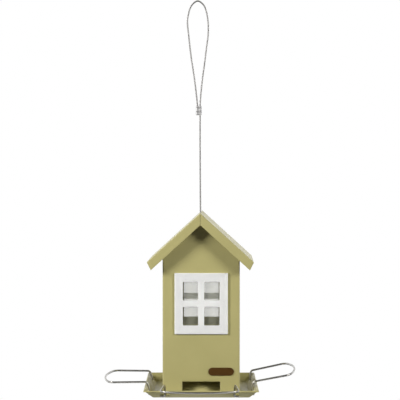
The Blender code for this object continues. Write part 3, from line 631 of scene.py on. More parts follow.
def new_finish(name, **constants):
    """A material, its tree, shader and place, with its constants on the shader's own sockets."""
    material = bpy.data.materials.new(name)
    material.use_nodes = True
    tree = material.node_tree
    shader = tree.nodes["Principled BSDF"]
    set_sockets(tree, shader.inputs, **constants)
    place = tree.nodes.new("ShaderNodeTexCoord").outputs["Object"]
    return material, tree, shader, place


def peeled(tree, place, cells):
    """The height and the mottle of a skin with so many cells to the metre."""
    return placed_group(tree, "orange_peel", Vector=place, Cells_per_metre=cells)


def drifting(tree, place, colour, depth, scale):
    """A colour that drifts a little darker and back across the piece."""
    return placed_group(tree, "tone_drift", Vector=place, Colour=colour, Depth=depth, Scale=scale)[0]


def rubbed_and_highlit_edges(tree, place, amount):
    """A mask of the paler places on the piece's edges: partly abrasion, partly a painted highlight."""
    edge = node(tree, "Attribute", {"attribute_name": "edge_rub_and_highlight"}).outputs["Fac"]
    return placed_group(tree, "edge_wear_and_highlight", Vector=place, Edge=edge, Amount=amount)[0]


def scratched(tree, place, stretch, amount):
    """A mask of fine scratches, its noise stretched by a number of cells to the metre each way."""
    return placed_group(tree, "fine_scratches", Vector=place, Stretch=stretch, Amount=amount)[0]


def bumped(tree, shader, height, distance, strength=1.0):
    bump = node(tree, "Bump", Height=height, Strength=strength, Distance=distance)
    tree.links.new(bump.outputs[0], shader.inputs["Normal"])


def powder_coat(name, colour, peel=700.0, peel_height=0.00006, wear_and_highlight=0.5):
    """Satin powder coat: orange-peel skin, a slow drift of tone, pale edges that are partly abrasion and
    partly a painted highlight, and a little dust.
    """
    material, tree, shader, place = new_finish(name, Roughness=0.5, Coat_Weight=0.2, Coat_Roughness=0.2)
    height, mottle = peeled(tree, place, cells=peel)
    base = drifting(tree, place, (*colour, 1), depth=0.22, scale=26.0)
    paler = (*[c * 1.35 for c in colour], 1)
    speckled = mixed(tree, times(tree, mottle, 0.1), base, paler)
    # Cream edge colour: partly abrasion, partly a painted highlight along folds and bends
    worn_and_highlit = tuple(0.35 * c + 0.65 * g for c, g in zip(colour, (0.62, 0.58, 0.40)))
    rubbed_and_highlit = mixed(tree, rubbed_and_highlit_edges(tree, place, amount=wear_and_highlight), speckled, (*worn_and_highlit, 1))
    dusted, dust = placed_group(
        tree, "dust", Vector=place, Colour=rubbed_and_highlit, Dust=(0.50, 0.46, 0.34, 1), Amount=0.05
    )
    scuff = scratched(tree, place, (60.0, 60.0, 900.0), amount=0.5)
    rough = plus(tree, between(tree, mottle, 0.0, 1.0, 0.44, 0.56), scuff, 0.12)
    rough = plus(tree, rough, dust, 0.3, clamp=True)
    set_sockets(tree, shader.inputs, Base_Color=dusted, Roughness=rough)
    bumped(tree, shader, height, distance=peel_height)
    return material


def moulded_white():
    """White moulded plastic: faint mould grain, a cool white with slight yellowing, light scuffs, and
    lighter edges that are partly abrasion and partly a painted highlight.
    """
    material, tree, shader, place = new_finish(
        "white_plastic", Roughness=0.34, IOR=1.5,
        Subsurface_Weight=0.8, Subsurface_Radius=(0.005, 0.005, 0.005), Subsurface_Scale=1.0,
    )
    base = drifting(tree, place, (0.905, 0.938, 0.98, 1), depth=0.03, scale=40.0)
    height, mottle = peeled(tree, place, cells=1500.0)
    scuff = scratched(tree, place, (900.0, 90.0, 120.0), amount=0.25)
    # Lighter edges: partly abrasion, partly a painted highlight on the raised rims
    colour = mixed(tree, rubbed_and_highlit_edges(tree, place, amount=0.5), base, (0.95, 0.95, 0.94, 1))
    rough = plus(tree, between(tree, mottle, 0, 1, 0.3, 0.38), scuff, 0.2)
    set_sockets(tree, shader.inputs, Base_Color=colour, Roughness=rough)
    bumped(tree, shader, height, distance=0.00002)
    return material


def clear_sheet():
    """Clear plastic sheet: lets most light through, with a thin haze of seed dust and fine scratches."""
    material, tree, shader, place = new_finish(
        "clear_plastic", Roughness=0.08, IOR=1.49, Base_Color=(0.52, 0.53, 0.42, 1)
    )
    scuff = scratched(tree, place, (900.0, 90.0, 160.0), amount=0.8)
    haze = noise(tree, place, Scale=70.0, Detail=4.0, Roughness=0.6)
    alpha = plus(tree, between(tree, haze, 0.3, 0.75, 0.14, 0.20), scuff, 0.05)
    rough = between(tree, haze, 0.3, 0.75, 0.05, 0.18)
    set_sockets(tree, shader.inputs, Alpha=alpha, Roughness=rough)
    bumped(tree, shader, haze, distance=0.00002, strength=0.5)
    return material


def drawn_wire():
    """Bright plated wire: drawing lines along its run, a few duller patches and dark specks."""
    material, tree, shader, place = new_finish("bright_wire", Roughness=0.38, Metallic=1.0)
    base = drifting(tree, place, (0.46, 0.45, 0.43, 1), depth=0.2, scale=90.0)
    run_map = node(tree, "UVMap", {"uv_map": "run"}).outputs[0]
    lines = scratched(tree, run_map, (160.0, 60.0, 1.0), amount=1.0)
    colour = mixed(tree, times(tree, lines, 0.15), base, (0.30, 0.29, 0.27, 1))
    spots = noise(tree, place, Scale=320.0, Detail=3.0)
    rough = plus(tree, between(tree, spots, 0.4, 0.7, 0.34, 0.44), lines, 0.06)
    set_sockets(tree, shader.inputs, Base_Color=colour, Roughness=rough)
    bumped(tree, shader, lines, distance=0.000005, strength=0.4)
    return material


def rope_metal():
    """Stranded steel: each strand's own thin wires run at a slant, with painted shade darkening the
    hollows between the strands.
    """
    material, tree, shader, place = new_finish("wire_rope", Roughness=0.5, Metallic=0.75)
    run_map = node(tree, "UVMap", {"uv_map": "run"}).outputs[0]
    parts = node(tree, "SeparateXYZ", _0=run_map).outputs
    slant = plus(tree, times(tree, parts[0], 1 / 0.0016), parts[1], STRANDS * 3.0)
    wires = maths(tree, "ABSOLUTE", maths(tree, "SINE", times(tree, slant, math.pi)))
    groove_shade = node(tree, "Attribute", {"attribute_name": "groove_shade"}).outputs["Fac"]
    base = drifting(tree, place, (0.33, 0.325, 0.325, 1), depth=0.3, scale=300.0)
    # Painted shade: near black down in the grooves between the strands
    colour = mixed(tree, times(tree, groove_shade, 0.85), base, (0.12, 0.115, 0.11, 1))
    rough = between(tree, groove_shade, 0.0, 1.0, 0.46, 0.65)
    set_sockets(tree, shader.inputs, Base_Color=colour, Roughness=rough)
    bumped(tree, shader, wires, distance=0.00003, strength=0.6)
    return material


def crimped_aluminium():
    """Soft aluminium: matt, with slightly darker die scratches along it."""
    material, tree, shader, place = new_finish("soft_aluminium", Roughness=0.5, Metallic=0.6)
    base = drifting(tree, place, (0.44, 0.44, 0.45, 1), depth=0.3, scale=500.0)
    marks = scratched(tree, place, (2400.0, 2400.0, 260.0), amount=1.0)
    colour = mixed(tree, times(tree, marks, 0.25), base, (0.38, 0.38, 0.39, 1))
    rough = between(tree, marks, 0.0, 1.0, 0.46, 0.60)
    set_sockets(tree, shader.inputs, Base_Color=colour, Roughness=rough)
    bumped(tree, shader, marks, distance=0.00001, strength=0.5)
    return material


def spangled_zinc():
    """Dull galvanised steel: crystals of slightly different grey, each with its own sheen, and paler
    edges that are partly abrasion and partly a painted highlight.
    """
    material, tree, shader, place = new_finish("galvanised_steel", Roughness=0.45, Metallic=1.0)
    crystal = node(tree, "TexVoronoi", _0=place, Scale=190.0).outputs["Color"]
    shade = node(tree, "SeparateXYZ", _0=crystal).outputs[0]
    grey = mixed(tree, shade, (0.44, 0.45, 0.46, 1), (0.66, 0.67, 0.67, 1))
    base = drifting(tree, place, grey, depth=0.5, scale=60.0)
    # Paler edges: partly abrasion, partly a painted highlight
    colour = mixed(tree, rubbed_and_highlit_edges(tree, place, amount=0.6), base, (0.8, 0.8, 0.8, 1))
    rough = between(tree, shade, 0.0, 1.0, 0.36, 0.58)
    set_sockets(tree, shader.inputs, Base_Color=colour, Roughness=rough)
    height, _ = peeled(tree, place, cells=1300.0)
    bumped(tree, shader, height, distance=0.00002)
    return material


def brown_gloss():
    """The bare plate: dark brown, semi-gloss, a faint mottle and a lighter rim that is partly abrasion
    and partly a painted highlight.
    """
    material, tree, shader, place = new_finish("brown_plate", Roughness=0.32)
    base = drifting(tree, place, (0.075, 0.034, 0.006, 1), depth=0.4, scale=160.0)
    # Lighter rim: partly abrasion, partly a painted highlight
    colour = mixed(tree, rubbed_and_highlit_edges(tree, place, amount=0.5), base, (0.20, 0.11, 0.05, 1))
    height, mottle = peeled(tree, place, cells=1600.0)
    rough = between(tree, mottle, 0, 1, 0.27, 0.38)
    set_sockets(tree, shader.inputs, Base_Color=colour, Roughness=rough)
    bumped(tree, shader, height, distance=0.00002)
    return material


# House walls


def folded_walls(half, end, side_slots):
    """Front wall with its two folded sides as one sheet, the front's outer face at y = -HOUSE_HALF.

    The plan is a U of three straights and two folds, carried up to the underside of the lid. Up to
    EVEN_HEIGHT the rows are level, and above it each column has the same shares up to its own top.
    """
    m = half - SHEET / 2
    face = HOUSE_HALF - SHEET / 2
    fold_radius = BEND_INNER + SHEET / 2
    plan = bent([(-m, end), (-m, -face), (m, -face), (m, end)], [fold_radius] * 2)
    plan[:, 2:] *= -1
    length = lengths_along(plan[:, :2])[-1]
    window = FRAME_HALF_WIDTH - FRAME_SIDE + GAP
    tall = FRAME_HALF_HEIGHT - FRAME_RAIL + GAP
    marks = [length / 2 + s * x for s in (-1, 1) for x in (window, SLOT_HALF, TAB_INNER, TAB_OUTER)]
    if side_slots:
        marks += [at for y in (-SLOT_HALF, SLOT_HALF) for at in (end - y, length - end + y)]
    plan = closer(plan, WALL_GRID, *marks)
    floor = HOUSE_BOTTOM + SHEET / 2
    tab_top = floor + fold_radius
    z_low = FRAME_CENTRE_HEIGHT - tall
    levels = run(HOUSE_BOTTOM, EVEN_HEIGHT, WALL_GRID, tab_top, SLOT_TOP, z_low, z_low + 2 * tall)
    drop = (SHEET + LID_CLEARANCE) / math.cos(ROOF_SLOPE)
    top = RIDGE_HEIGHT - drop - np.abs(plan[:, 0]) * math.tan(ROOF_SLOPE)
    shares = np.linspace(0, 1, 12)[1:]
    upper = EVEN_HEIGHT + shares[:, None] * (top - EVEN_HEIGHT)
    heights = np.vstack([np.repeat(levels[:, None], len(plan), axis=1), upper])
    grid = np.zeros((*heights.shape, 6))
    grid[..., [0, 1, 3, 4]] = plan
    grid[..., 2] = heights

    def keep(x, y, z):
        on_face = y < -face + 0.001
        light = on_face & (np.abs(x) < window) & (np.abs(z - FRAME_CENTRE_HEIGHT) < tall)
        in_front = on_face & (np.abs(x) < SLOT_HALF)
        at_sides = side_slots & ~on_face & (np.abs(y) < SLOT_HALF)
        slot = (z < SLOT_TOP) & (in_front | at_sides)
        tab = on_face & (z < tab_top) & (np.abs(x) > TAB_INNER) & (np.abs(x) < TAB_OUTER)
        return ~(light | slot | tab)

    parts = [grid_of(grid, keep=keep)]
    above, corner, tip = (-face, SLOT_TOP), (-face, floor), (TAB_DEPTH - HOUSE_HALF, floor)
    fold = closer(bent([above, corner, tip], [fold_radius])[1:], WALL_GRID)
    off = np.abs(plan[:, 0])
    inside = (plan[:, 1] < -face + 0.0001) & (off > TAB_INNER - 1e-6) & (off < TAB_OUTER + 1e-6)
    for hand in (-1, 1):
        across = plan[inside & (plan[:, 0] * hand > 0), 0]
        tab = np.zeros((len(fold), len(across), 6))
        tab[..., 0] = across
        tab[..., 1:3] = fold[:, None, :2]
        tab[..., 4:] = -np.abs(fold[:, None, 2:])
        parts.append(grid_of(tab))
    return welded(*parts)


def make_walls(finish):
    points, quads = folded_walls(HOUSE_HALF, HOUSE_HALF, True)
    shell = settled(new_piece("house_walls", *thickened(points, quads, SHEET), finish))
    placed(shell, "feeder", "olive_paint", "body_shell")
    points, quads = folded_walls(REAR_HALF, RETURN_DEPTH - HOUSE_HALF, False)
    points[:, [1, 4]] *= -1
    rear = settled(new_piece("rear_wall", *thickened(points, quads[:, ::-1], SHEET), finish))
    placed(rear, "feeder", "olive_paint", "rear_panel")


# Lid


def roof_section(inset, stages):
    """Right half of the lid's section at an inset inside its outer faces, as rows (x, z, normal).

    Ridge and eave are arcs about fixed centres, so an inset only shortens their radius.
    The stages are the parts wanted out of ridge, slope, eave and flap.
    """
    a, b = ROOF_SLOPE, EAVE_FLAP_LEAN
    slope_out = np.array([math.sin(a), math.cos(a)])
    flap_out = np.array([math.cos(b), -math.sin(b)])
    flap_way = np.array([-math.sin(b), -math.cos(b)])
    faces = np.stack([slope_out, flap_out])
    eave = np.array([ROOF_HALF, EAVE_HEIGHT])
    ridge_centre = np.array([0, RIDGE_HEIGHT - ROOF_BEND / math.cos(a)])
    eave_centre = eave + np.linalg.solve(faces, [-1, -1]) * ROOF_BEND
    radius = ROOF_BEND - inset
    rows = []

    def add_arc(centre, angle):
        out = np.stack([np.cos(angle), np.sin(angle)], axis=1)
        rows.append(np.hstack([centre + radius * out, out]))

    def add_straight(start, end, share, out):
        line = start + (end - start) * share[:, None]
        rows.append(np.hstack([line, np.broadcast_to(out, line.shape)]))

    if "ridge" in stages:
        add_arc(ridge_centre, np.linspace(math.pi / 2, math.pi / 2 - a, 5)[:-1])
    if "slope" in stages:
        start, end = ridge_centre + radius * slope_out, eave_centre + radius * slope_out
        folded = SHEET / 2 + FASCIA_FOLD
        if inset > folded + WELD:
            way = np.array([math.cos(a), -math.sin(a)])
            start = np.array([0, RIDGE_HEIGHT - inset / math.cos(a)]) + way * SLIT / 2 / way[0]
            behind = np.interp(inset, [folded, FASCIA_TUCK], [folded, SHEET / 4])
            end = eave + np.linalg.solve(faces, [-inset, -behind])
        add_straight(start, end, np.linspace(0, 1, 20), slope_out)
    if "eave" in stages:
        add_arc(eave_centre, np.linspace(math.pi / 2 - a, -b, 6)[1:])
    if "flap" in stages:
        length = FASCIA_DEPTH / math.cos(a - b)
        foot = eave + flap_way * length - flap_out * inset
        add_straight(eave_centre + radius * flap_out, foot, np.linspace(0, 1, 4)[1:], flap_out)
    return np.vstack(rows)


def make_lid(finish):
    """The folded lid: top, the fold along each end, and the two halves of each fascia below it.

    Top: the section carried along y. End fold: a quarter turn whose depth below the faces grows as its
    way along y slows. Fascia: the slope's line lowered by the depth, straight down to its edge.
    """
    half = SHEET / 2
    end = ROOF_HALF_DEPTH - half
    section = roof_section(half, ("ridge", "slope", "eave", "flap"))
    places = run(-(end - FASCIA_FOLD), end - FASCIA_FOLD, ROOF_GRID)
    parts = mirrored(grid_of(carried(section, places)), 0)

    turn = np.linspace(0, math.pi / 2, 6)
    depth = FASCIA_FOLD * (1 - np.cos(turn))
    fold = np.stack([roof_section(half + d, ("ridge", "slope", "eave")) for d in depth], axis=1)
    bend = np.zeros((*fold.shape[:2], 6))
    bend[..., [0, 2]] = fold[..., :2]
    bend[..., 1] = -(end - FASCIA_FOLD) - FASCIA_FOLD * np.sin(turn)
    bend[..., [3, 5]] = fold[..., 2:] * np.cos(turn)[:, None]
    bend[..., 4] = -np.sin(turn)

    down = run(FASCIA_FOLD, FASCIA_DEPTH - half, 0.0022, 0.0013)
    lines = np.stack([roof_section(half + d, ("slope",)) for d in down], axis=1)
    strip = np.zeros((*lines.shape[:2], 6))
    strip[..., [0, 2]] = lines[..., :2]
    strip[..., 1] = -end
    strip[..., 4] = -1
    for part in (grid_of(bend), grid_of(strip)):
        for side in mirrored(part, 0):
            parts += mirrored(side, 1)
    points, quads = thickened(*welded(*parts), SHEET)
    lid = new_piece("lid", spun(points, LID_TURN), quads, finish)
    bore = [(CABLE_HOLE_RADIUS, RIDGE_HEIGHT - 0.012), (CABLE_HOLE_RADIUS, RIDGE_HEIGHT + 0.004)]
    settled(lid, [turned_piece("lid_hole", bore, (0, 0, 0), (0, 0, 1), finish, 32)])
    placed(lid, "lid", "olive_paint", "roof")


# Tray and deflector


def pan_grid(line, plan, out):
    """A line (reach, height, normal) carried round: plan is x and y, and out each column's way out."""
    grid = np.zeros((*plan.shape[:2], 6))
    grid[..., :2] = plan
    grid[..., 2] = line[:, 1:2]
    grid[..., 3:5] = out * line[:, 2][:, None, None]
    grid[..., 5] = line[:, 3:4]
    return grid


def square_pan(line, corner, steps=6):
    """A line carried round a square with rounded corners.

    Each column points at one place of the corner arcs: the arc's centre moves out with the reach,
    and its radius stays the same.
    """
    quarter = np.linspace(0, math.pi / 2, steps + 1)
    angle = np.concatenate([quarter + k * math.pi / 2 for k in range(4)])
    sign = np.repeat([(1, 1), (-1, 1), (-1, -1), (1, -1)], steps + 1, axis=0)
    out = np.stack([np.cos(angle), np.sin(angle)], axis=1)
    radius = np.minimum(corner, line[:, 0] * 0.9)[:, None, None]
    return pan_grid(line, sign * (line[:, 0][:, None, None] - radius) + out * radius, out)


def pan_body(name, grid, thickness, finish):
    """A closed sheet body from the grid of a pan or dome, its middle filled on both sides."""
    columns = grid.shape[1]
    points, quads = grid_of(grid, round_again=True)
    half = points[:, 3:] * (thickness / 2)
    outer, inner = points[:, :3] + half, points[:, :3] - half
    count = len(points)
    index = np.arange(columns)
    after = (index + 1) % columns
    last = count - columns
    rim = np.stack([last + after, last + index, last + index + count, last + after + count], axis=-1)
    body = np.vstack([quads, quads[:, ::-1] + count, rim])
    caps = [index[::-1], index + count]
    return new_piece(name, np.vstack([outer, inner]), body, finish, caps)


def tray_line():
    """The tray's slope, and its section at the middle of the sheet, from its middle to its lip."""
    run_out, rise = (TRAY_LIP - TRAY_BASE) / 2, TRAY_HEIGHT
    for _ in range(8):
        slope = rise / run_out
        rise = TRAY_HEIGHT - SHEET * math.hypot(1, slope)
    half = SHEET / 2
    drop = half * math.hypot(1, slope)
    lip = TRAY_LIP / 2 - half
    foot = TRAY_LIP / 2 + (half - TRAY_HEIGHT + drop) / slope
    crest = TRAY_HEIGHT + slope * (lip - TRAY_LIP / 2) - drop
    corners = [(0.001, half), (foot, half), (lip, crest), (lip, TRAY_HEIGHT - LIP_TURN_DOWN)]
    line = closer(bent(corners, [BEND_INNER + half, LIP_BEND]), 0.006)
    return slope, line


def perch_pivot_reach(slope):
    """How far out the perches' pivots lie in the tray's sloped walls."""
    return TRAY_BASE / 2 + (PERCH_PIVOT_HEIGHT - SHEET * math.hypot(1, slope) / 2) / slope


def make_tray(finish):
    """The pan with two slots through each wall for a perch's hooks, and a drain hole at each corner."""
    slope, line = tray_line()
    tray = pan_body("seed_tray", square_pan(line, TRAY_CORNER), SHEET, finish)
    lean = math.atan(slope)
    reach = perch_pivot_reach(slope)
    slot = rounded_loop(0, 0, PERCH_SLOT_HEIGHT / 2, PERCH_SLOT_WIDTH / 2, PERCH_SLOT_CORNER, 4)
    up, along = np.broadcast_arrays([[-0.002], [0.002]], slot[:, 0])
    x = reach + along * math.cos(lean) - up * math.sin(lean)
    z = PERCH_PIVOT_HEIGHT + along * math.sin(lean) + up * math.cos(lean)
    drain = [(DRAIN_RADIUS, -0.002), (DRAIN_RADIUS, 0.003)]
    cutters = []
    for side in range(4):
        c, s = math.cos(side * math.pi / 2), math.sin(side * math.pi / 2)
        for hand in (-1, 1):
            y = hand * PERCH_HOOK_HALF + slot[:, 1]
            points, quads, caps = closed_rings(np.stack([x * c - y * s, x * s + y * c, z], axis=-1))
            cutters.append(new_piece("slot_%d_%d" % (side, hand + 1), points, quads, finish, caps))
        at = (DRAIN_PITCH / 2 * (c - s), DRAIN_PITCH / 2 * (s + c), 0)
        cutters.append(turned_piece("drain_%d" % side, drain, at, (0, 0, 1), finish, 20))
    settled(tray, cutters)
    placed(tray, "feeder", "olive_paint", "tray")


def dome_line():
    """The dome's section from its top to its foot and out on the flange, and how many rows stay round."""
    half = DEFLECTOR_SHEET / 2
    flat = SHEET + GAP + half
    rise = (DEFLECTOR_PEAK - flat - half) / math.cos(DEFLECTOR_TOP_ANGLE)
    sine, cosine = np.sin(DOME_ANGLES), np.cos(DOME_ANGLES)
    at = np.stack([DEFLECTOR_RADIUS * sine, flat + rise * cosine], axis=1)
    at[:, 1] = np.minimum(at[:, 1], DEFLECTOR_PEAK - half)
    normal = np.stack([sine / DEFLECTOR_RADIUS, cosine / rise], axis=1)
    normal /= np.linalg.norm(normal, axis=1)[:, None]
    dome = np.hstack([at - normal * half * sine[:, None], normal])
    end = dome[-1]
    foot = end[0] + (end[1] - flat) * end[3] / end[2]
    folded = bent([end[:2], (foot, flat), (DEFLECTOR_FLANGE, flat)], [DEFLECTOR_BEND])
    return np.vstack([dome, folded[1:]]), len(dome) + len(folded) - 2


def make_deflector(finish):
    """The low round dome pressed in its square flange: the flange's rim is carried out to the square."""
    line, round_rows = dome_line()
    angle = round_angles(64)
    out = np.stack([np.cos(angle), np.sin(angle)], axis=1)
    reach = np.repeat(line[:, 0][:, None], len(angle), axis=1)
    reach[round_rows:] /= np.abs(out).max(axis=1)
    grid = pan_grid(line, reach[..., None] * out, out)
    deflector = settled(pan_body("seed_deflector_skin", grid, DEFLECTOR_SHEET, finish), rounding=0.0001)
    placed(deflector, "feeder", "olive_paint", "seed_deflector")


# Window


def joined_corners(corners, fill):
    """The points of four corners one after the other, with fill points on each straight between."""
    share = np.linspace(0, 1, fill + 2)[1:-1, None]
    parts = []
    for this, following in zip(corners, corners[1:] + corners[:1]):
        parts += [this, this[-1] + (following[0] - this[-1]) * share]
    return np.vstack(parts)


def rounded_loop(centre_u, centre_v, half_u, half_v, radius, steps=6, fill=0):
    """A closed rounded rectangle, anticlockwise, with an arc at each corner."""
    quarter = np.linspace(0, math.pi / 2, steps + 1)
    corners = []
    for k, (su, sv) in enumerate([(1, 1), (-1, 1), (-1, -1), (1, -1)]):
        angle = quarter + k * math.pi / 2
        u = su * (half_u - radius) + radius * np.cos(angle)
        v = sv * (half_v - radius) + radius * np.sin(angle)
        corners.append(np.stack([u, v], axis=1))
    return joined_corners(corners, fill) + np.array([centre_u, centre_v])


def squared_loop(low_u, high_u, low_v, high_v, spread, steps=6, fill=0):
    """A closed rectangle with as many points as rounded_loop: at each corner they run up to the corner
    and away from it, over the spread on either side."""
    share = np.linspace(-1, 1, steps + 1)[:, None]
    before, after = np.clip(-share, 0, 1) * spread, np.clip(share, 0, 1) * spread
    ways = np.array([(0, 1), (-1, 0), (0, -1), (1, 0)])
    corners = []
    for k, corner in enumerate([(high_u, high_v), (low_u, high_v), (low_u, low_v), (high_u, low_v)]):
        corners.append(np.array(corner) - before * ways[k] + after * ways[(k + 1) % 4])
    return joined_corners(corners, fill)


def window_frame_sheet():
    """The frame's face: loops from one light's edge out to the rim of its quarter, mirrored four ways.

    The height is a function of the distance to the nearest edge: rounded over at the edge, raised as a
    rim for the next millimetre, then a little lower.
    """
    low_u, low_v = BAR_UPRIGHT / 2, BAR_CROSS / 2
    high_u, high_v = FRAME_HALF_WIDTH - FRAME_SIDE, FRAME_HALF_HEIGHT - FRAME_RAIL
    centre = ((low_u + high_u) / 2, (low_v + high_v) / 2)
    half_u, half_v = (high_u - low_u) / 2, (high_v - low_v) / 2
    loops = []
    for d in RIM_STEPS:
        loops.append(rounded_loop(*centre, half_u + d, half_v + d, LIGHT_CORNER + d, fill=7))
    for e in reversed(RIM_STEPS):
        loops.append(squared_loop(e, FRAME_HALF_WIDTH - e, e, FRAME_HALF_HEIGHT - e, 0.003, fill=7))
    plan = np.array(loops)
    # The outermost loop lies on the bars' middle lines, so that the quarters meet
    to_edge = np.minimum(FRAME_HALF_WIDTH - plan[..., 0], FRAME_HALF_HEIGHT - plan[..., 1])
    off = np.abs(plan - centre) - (half_u - LIGHT_CORNER, half_v - LIGHT_CORNER)
    to_light = np.linalg.norm(np.maximum(off, 0), axis=-1) - LIGHT_CORNER
    steps_out = [0, 0.00012, 0.00035, 0.0011, 0.0015]
    rise = [-0.0004, -0.00012, 0, 0, -0.00006]
    height = np.maximum(np.interp(to_edge, steps_out, rise), np.interp(to_light, steps_out, rise))
    height = np.where(to_edge < 1e-7, rise[0], height)
    y = -HOUSE_HALF - GAP - FRAME_THICKNESS - height
    grid = np.stack([plan[..., 0], y, plan[..., 1]], axis=-1)
    parts = []
    for part in mirrored(grid_of(grid, round_again=True), 0):
        parts += mirrored(part, 2)
    points, quads = welded(*parts)
    points[:, 2] += FRAME_CENTRE_HEIGHT
    return points, quads


def window_frame_body():
    """The frame's face, its flat back and the four pins through the pane, with their flat heads."""
    points, quads = window_frame_sheet()
    other = points.copy()
    other[:, 1] = -HOUSE_HALF - GAP
    body, faces = bridged(points, quads, other)
    caps = []
    seat = SHEET + GAP + PANE_THICKNESS + GAP
    pin = [
        (PIN_RADIUS, -GAP - 0.0001), (PIN_RADIUS, seat), (PIN_HEAD_RADIUS * 0.92, seat),
        (PIN_HEAD_RADIUS, seat + 0.0003), (PIN_HEAD_RADIUS * 0.8, seat + 0.0008),
        (PIN_HEAD_RADIUS * 0.4, seat + 0.001),
    ]
    for sx in (-1, 1):
        for sz in (-1, 1):
            x = sx * (FRAME_HALF_WIDTH - FRAME_SIDE / 2)
            z = FRAME_CENTRE_HEIGHT + sz * (FRAME_HALF_HEIGHT - FRAME_RAIL / 2)
            points, quads, ends = turned(pin, (x, -HOUSE_HALF, z), (0, 1, 0), 16)
            caps += [[k + len(body) for k in cap] for cap in ends]
            faces = np.vstack([faces, quads + len(body)])
            body = np.vstack([body, points])
    return body, faces, caps


def pane_body():
    """The pane: a flat sheet with a faint ripple, a product of two sines."""
    half_u = FRAME_HALF_WIDTH - FRAME_SIDE / 2 + PIN_HEAD_RADIUS + PANE_MARGIN
    half_v = FRAME_HALF_HEIGHT - FRAME_RAIL / 2 + PIN_HEAD_RADIUS + PANE_MARGIN
    u, v = np.meshgrid(np.linspace(-half_u, half_u, 25), np.linspace(-half_v, half_v, 29))
    ripple = 0.00004 * np.sin(u * 95 + 0.6) * np.sin(v * 71 + 1.1)
    y = -HOUSE_HALF + SHEET + GAP + 0.00005 + ripple
    points, quads = grid_of(np.stack([u, y, v + FRAME_CENTRE_HEIGHT], axis=-1))
    return bridged(points, quads, points + (0, PANE_THICKNESS - 0.0001, 0))


def make_windows(finish, clear):
    """A frame outside and a pane inside the front and rear walls."""
    body, faces, caps = window_frame_body()
    points, quads = pane_body()
    for name, side in (("front", 1), ("rear", -1)):
        turn = (side, side, 1)
        frame_piece = new_piece(
            "window_frame_" + name + "_moulding", body * turn, faces, finish, caps, smooth=50
        )
        mark_edges(frame_piece.data)
        placed(frame_piece, "feeder", "white_plastic", "window_frame_" + name)
        pane = settled(new_piece("window_pane_" + name + "_sheet", points * turn, quads, clear))
        placed(pane, "feeder", "clear_plastic", "window_pane_" + name)


# Perches


def rounded_way(corners, radii, steps=8):
    """A way in space with each inner corner replaced by the arc that touches both straights."""
    at = np.array(corners, float)
    back = at[:-2] - at[1:-1]
    ahead = at[2:] - at[1:-1]
    back /= np.linalg.norm(back, axis=1)[:, None]
    ahead /= np.linalg.norm(ahead, axis=1)[:, None]
    half = np.arccos(np.clip((back * ahead).sum(axis=1), -1, 1)) / 2
    radius = np.array(radii, float)
    middle = back + ahead
    middle /= np.maximum(np.linalg.norm(middle, axis=1), 1e-9)[:, None]
    centre = at[1:-1] + middle * (radius / np.sin(half))[:, None]
    start = at[1:-1] + back * (radius / np.tan(half))[:, None] - centre
    end = at[1:-1] + ahead * (radius / np.tan(half))[:, None] - centre
    turn = np.maximum(math.pi - 2 * half, 1e-6)[:, None, None]
    share = np.linspace(0, 1, steps + 1)[None, :, None]
    arc = np.sin((1 - share) * turn) * start[:, None] + np.sin(share * turn) * end[:, None]
    points = centre[:, None] + arc / np.sin(turn)
    parts = [at[:1]]
    for i, r in enumerate(radii):
        parts.append(points[i] if r else at[i + 1][None])
    return np.vstack(parts + [at[-1:]])


def perch_path():
    """The perch's way seen from its pivot, +X outwards and +Y along the tray's wall, with its radii."""
    slope, _ = tray_line()
    reach = perch_pivot_reach(slope)
    height = PERCH_ARM_HEIGHT - PERCH_PIVOT_HEIGHT
    bulge = PERCH_TIP_REACH - PERCH_CORNER_REACH
    arc_radius = (PERCH_CORNER_HALF ** 2 + bulge ** 2) / (2 * bulge)
    centre = PERCH_TIP_REACH - reach - arc_radius
    angle = math.asin(PERCH_CORNER_HALF / arc_radius) * np.linspace(2 / 3, -2 / 3, 9)
    half = [
        (0, PERCH_HOOK_HALF + PERCH_HOOK_LENGTH, -PERCH_HOOK_DROP),
        (0, PERCH_HOOK_HALF, -PERCH_HOOK_DROP),
        (0, PERCH_HOOK_HALF, PERCH_LEG_RISE),
        (PERCH_BEND_REACH - reach, PERCH_BEND_HALF, height),
        (PERCH_CORNER_REACH - reach, PERCH_CORNER_HALF, height),
    ]
    arc = [(centre + arc_radius * math.cos(a), arc_radius * math.sin(a), height) for a in angle]
    route = half + arc + [(x, -y, z) for x, y, z in reversed(half)]
    ends = [PERCH_HOOK_RADIUS, PERCH_BEND_RADIUS, PERCH_BEND_RADIUS, PERCH_CORNER_RADIUS]
    way = rounded_way(route, ends + [0] * len(arc) + ends[::-1])
    along = lengths_along(way)
    places = run(0, along[-1], 0.0035, *along, *WIRE_END, *(along[-1] - WIRE_END))
    way = np.stack([np.interp(places, along, way[:, k]) for k in range(3)], axis=1)
    near_end = np.minimum(places, along[-1] - places)
    radii = np.interp(near_end, WIRE_END, WIRE / 2 * np.array([0.72, 0.88, 0.97, 1]))
    return reach, way, radii


def make_perches(finish):
    """One bent wire on each side of the tray, tilted and shifted as the photograph shows."""
    reach, way, radii = perch_path()
    sides = 16
    places = (
        ("right", 0, 0, RIGHT_PERCH_TILT),
        ("rear", 90, 0, 0),
        ("left", 180, 0, 0),
        ("front", -90, FRONT_PERCH_SHIFT, 0),
    )
    for name, degrees, shift, tilt in places:
        c, s = math.cos(tilt), math.sin(tilt)
        tilted = way @ np.array([(c, 0, s), (0, 1, 0), (-s, 0, c)])
        turn = math.radians(degrees)
        wire = spun(tilted + (reach, 0, PERCH_PIVOT_HEIGHT), turn) + np.array([shift, 0, 0])
        steady = spun(np.array([1, 1, 1.3]), turn)
        points, quads, caps = tube(wire, radii, steady, sides)
        perch = new_piece("perch_wire_" + name, points, quads, finish, caps, smooth=60)
        store_run(perch, wire, sides)
        placed(perch, name + "_perch", "bright_wire", "perch_" + name)


# Cable and what is on it


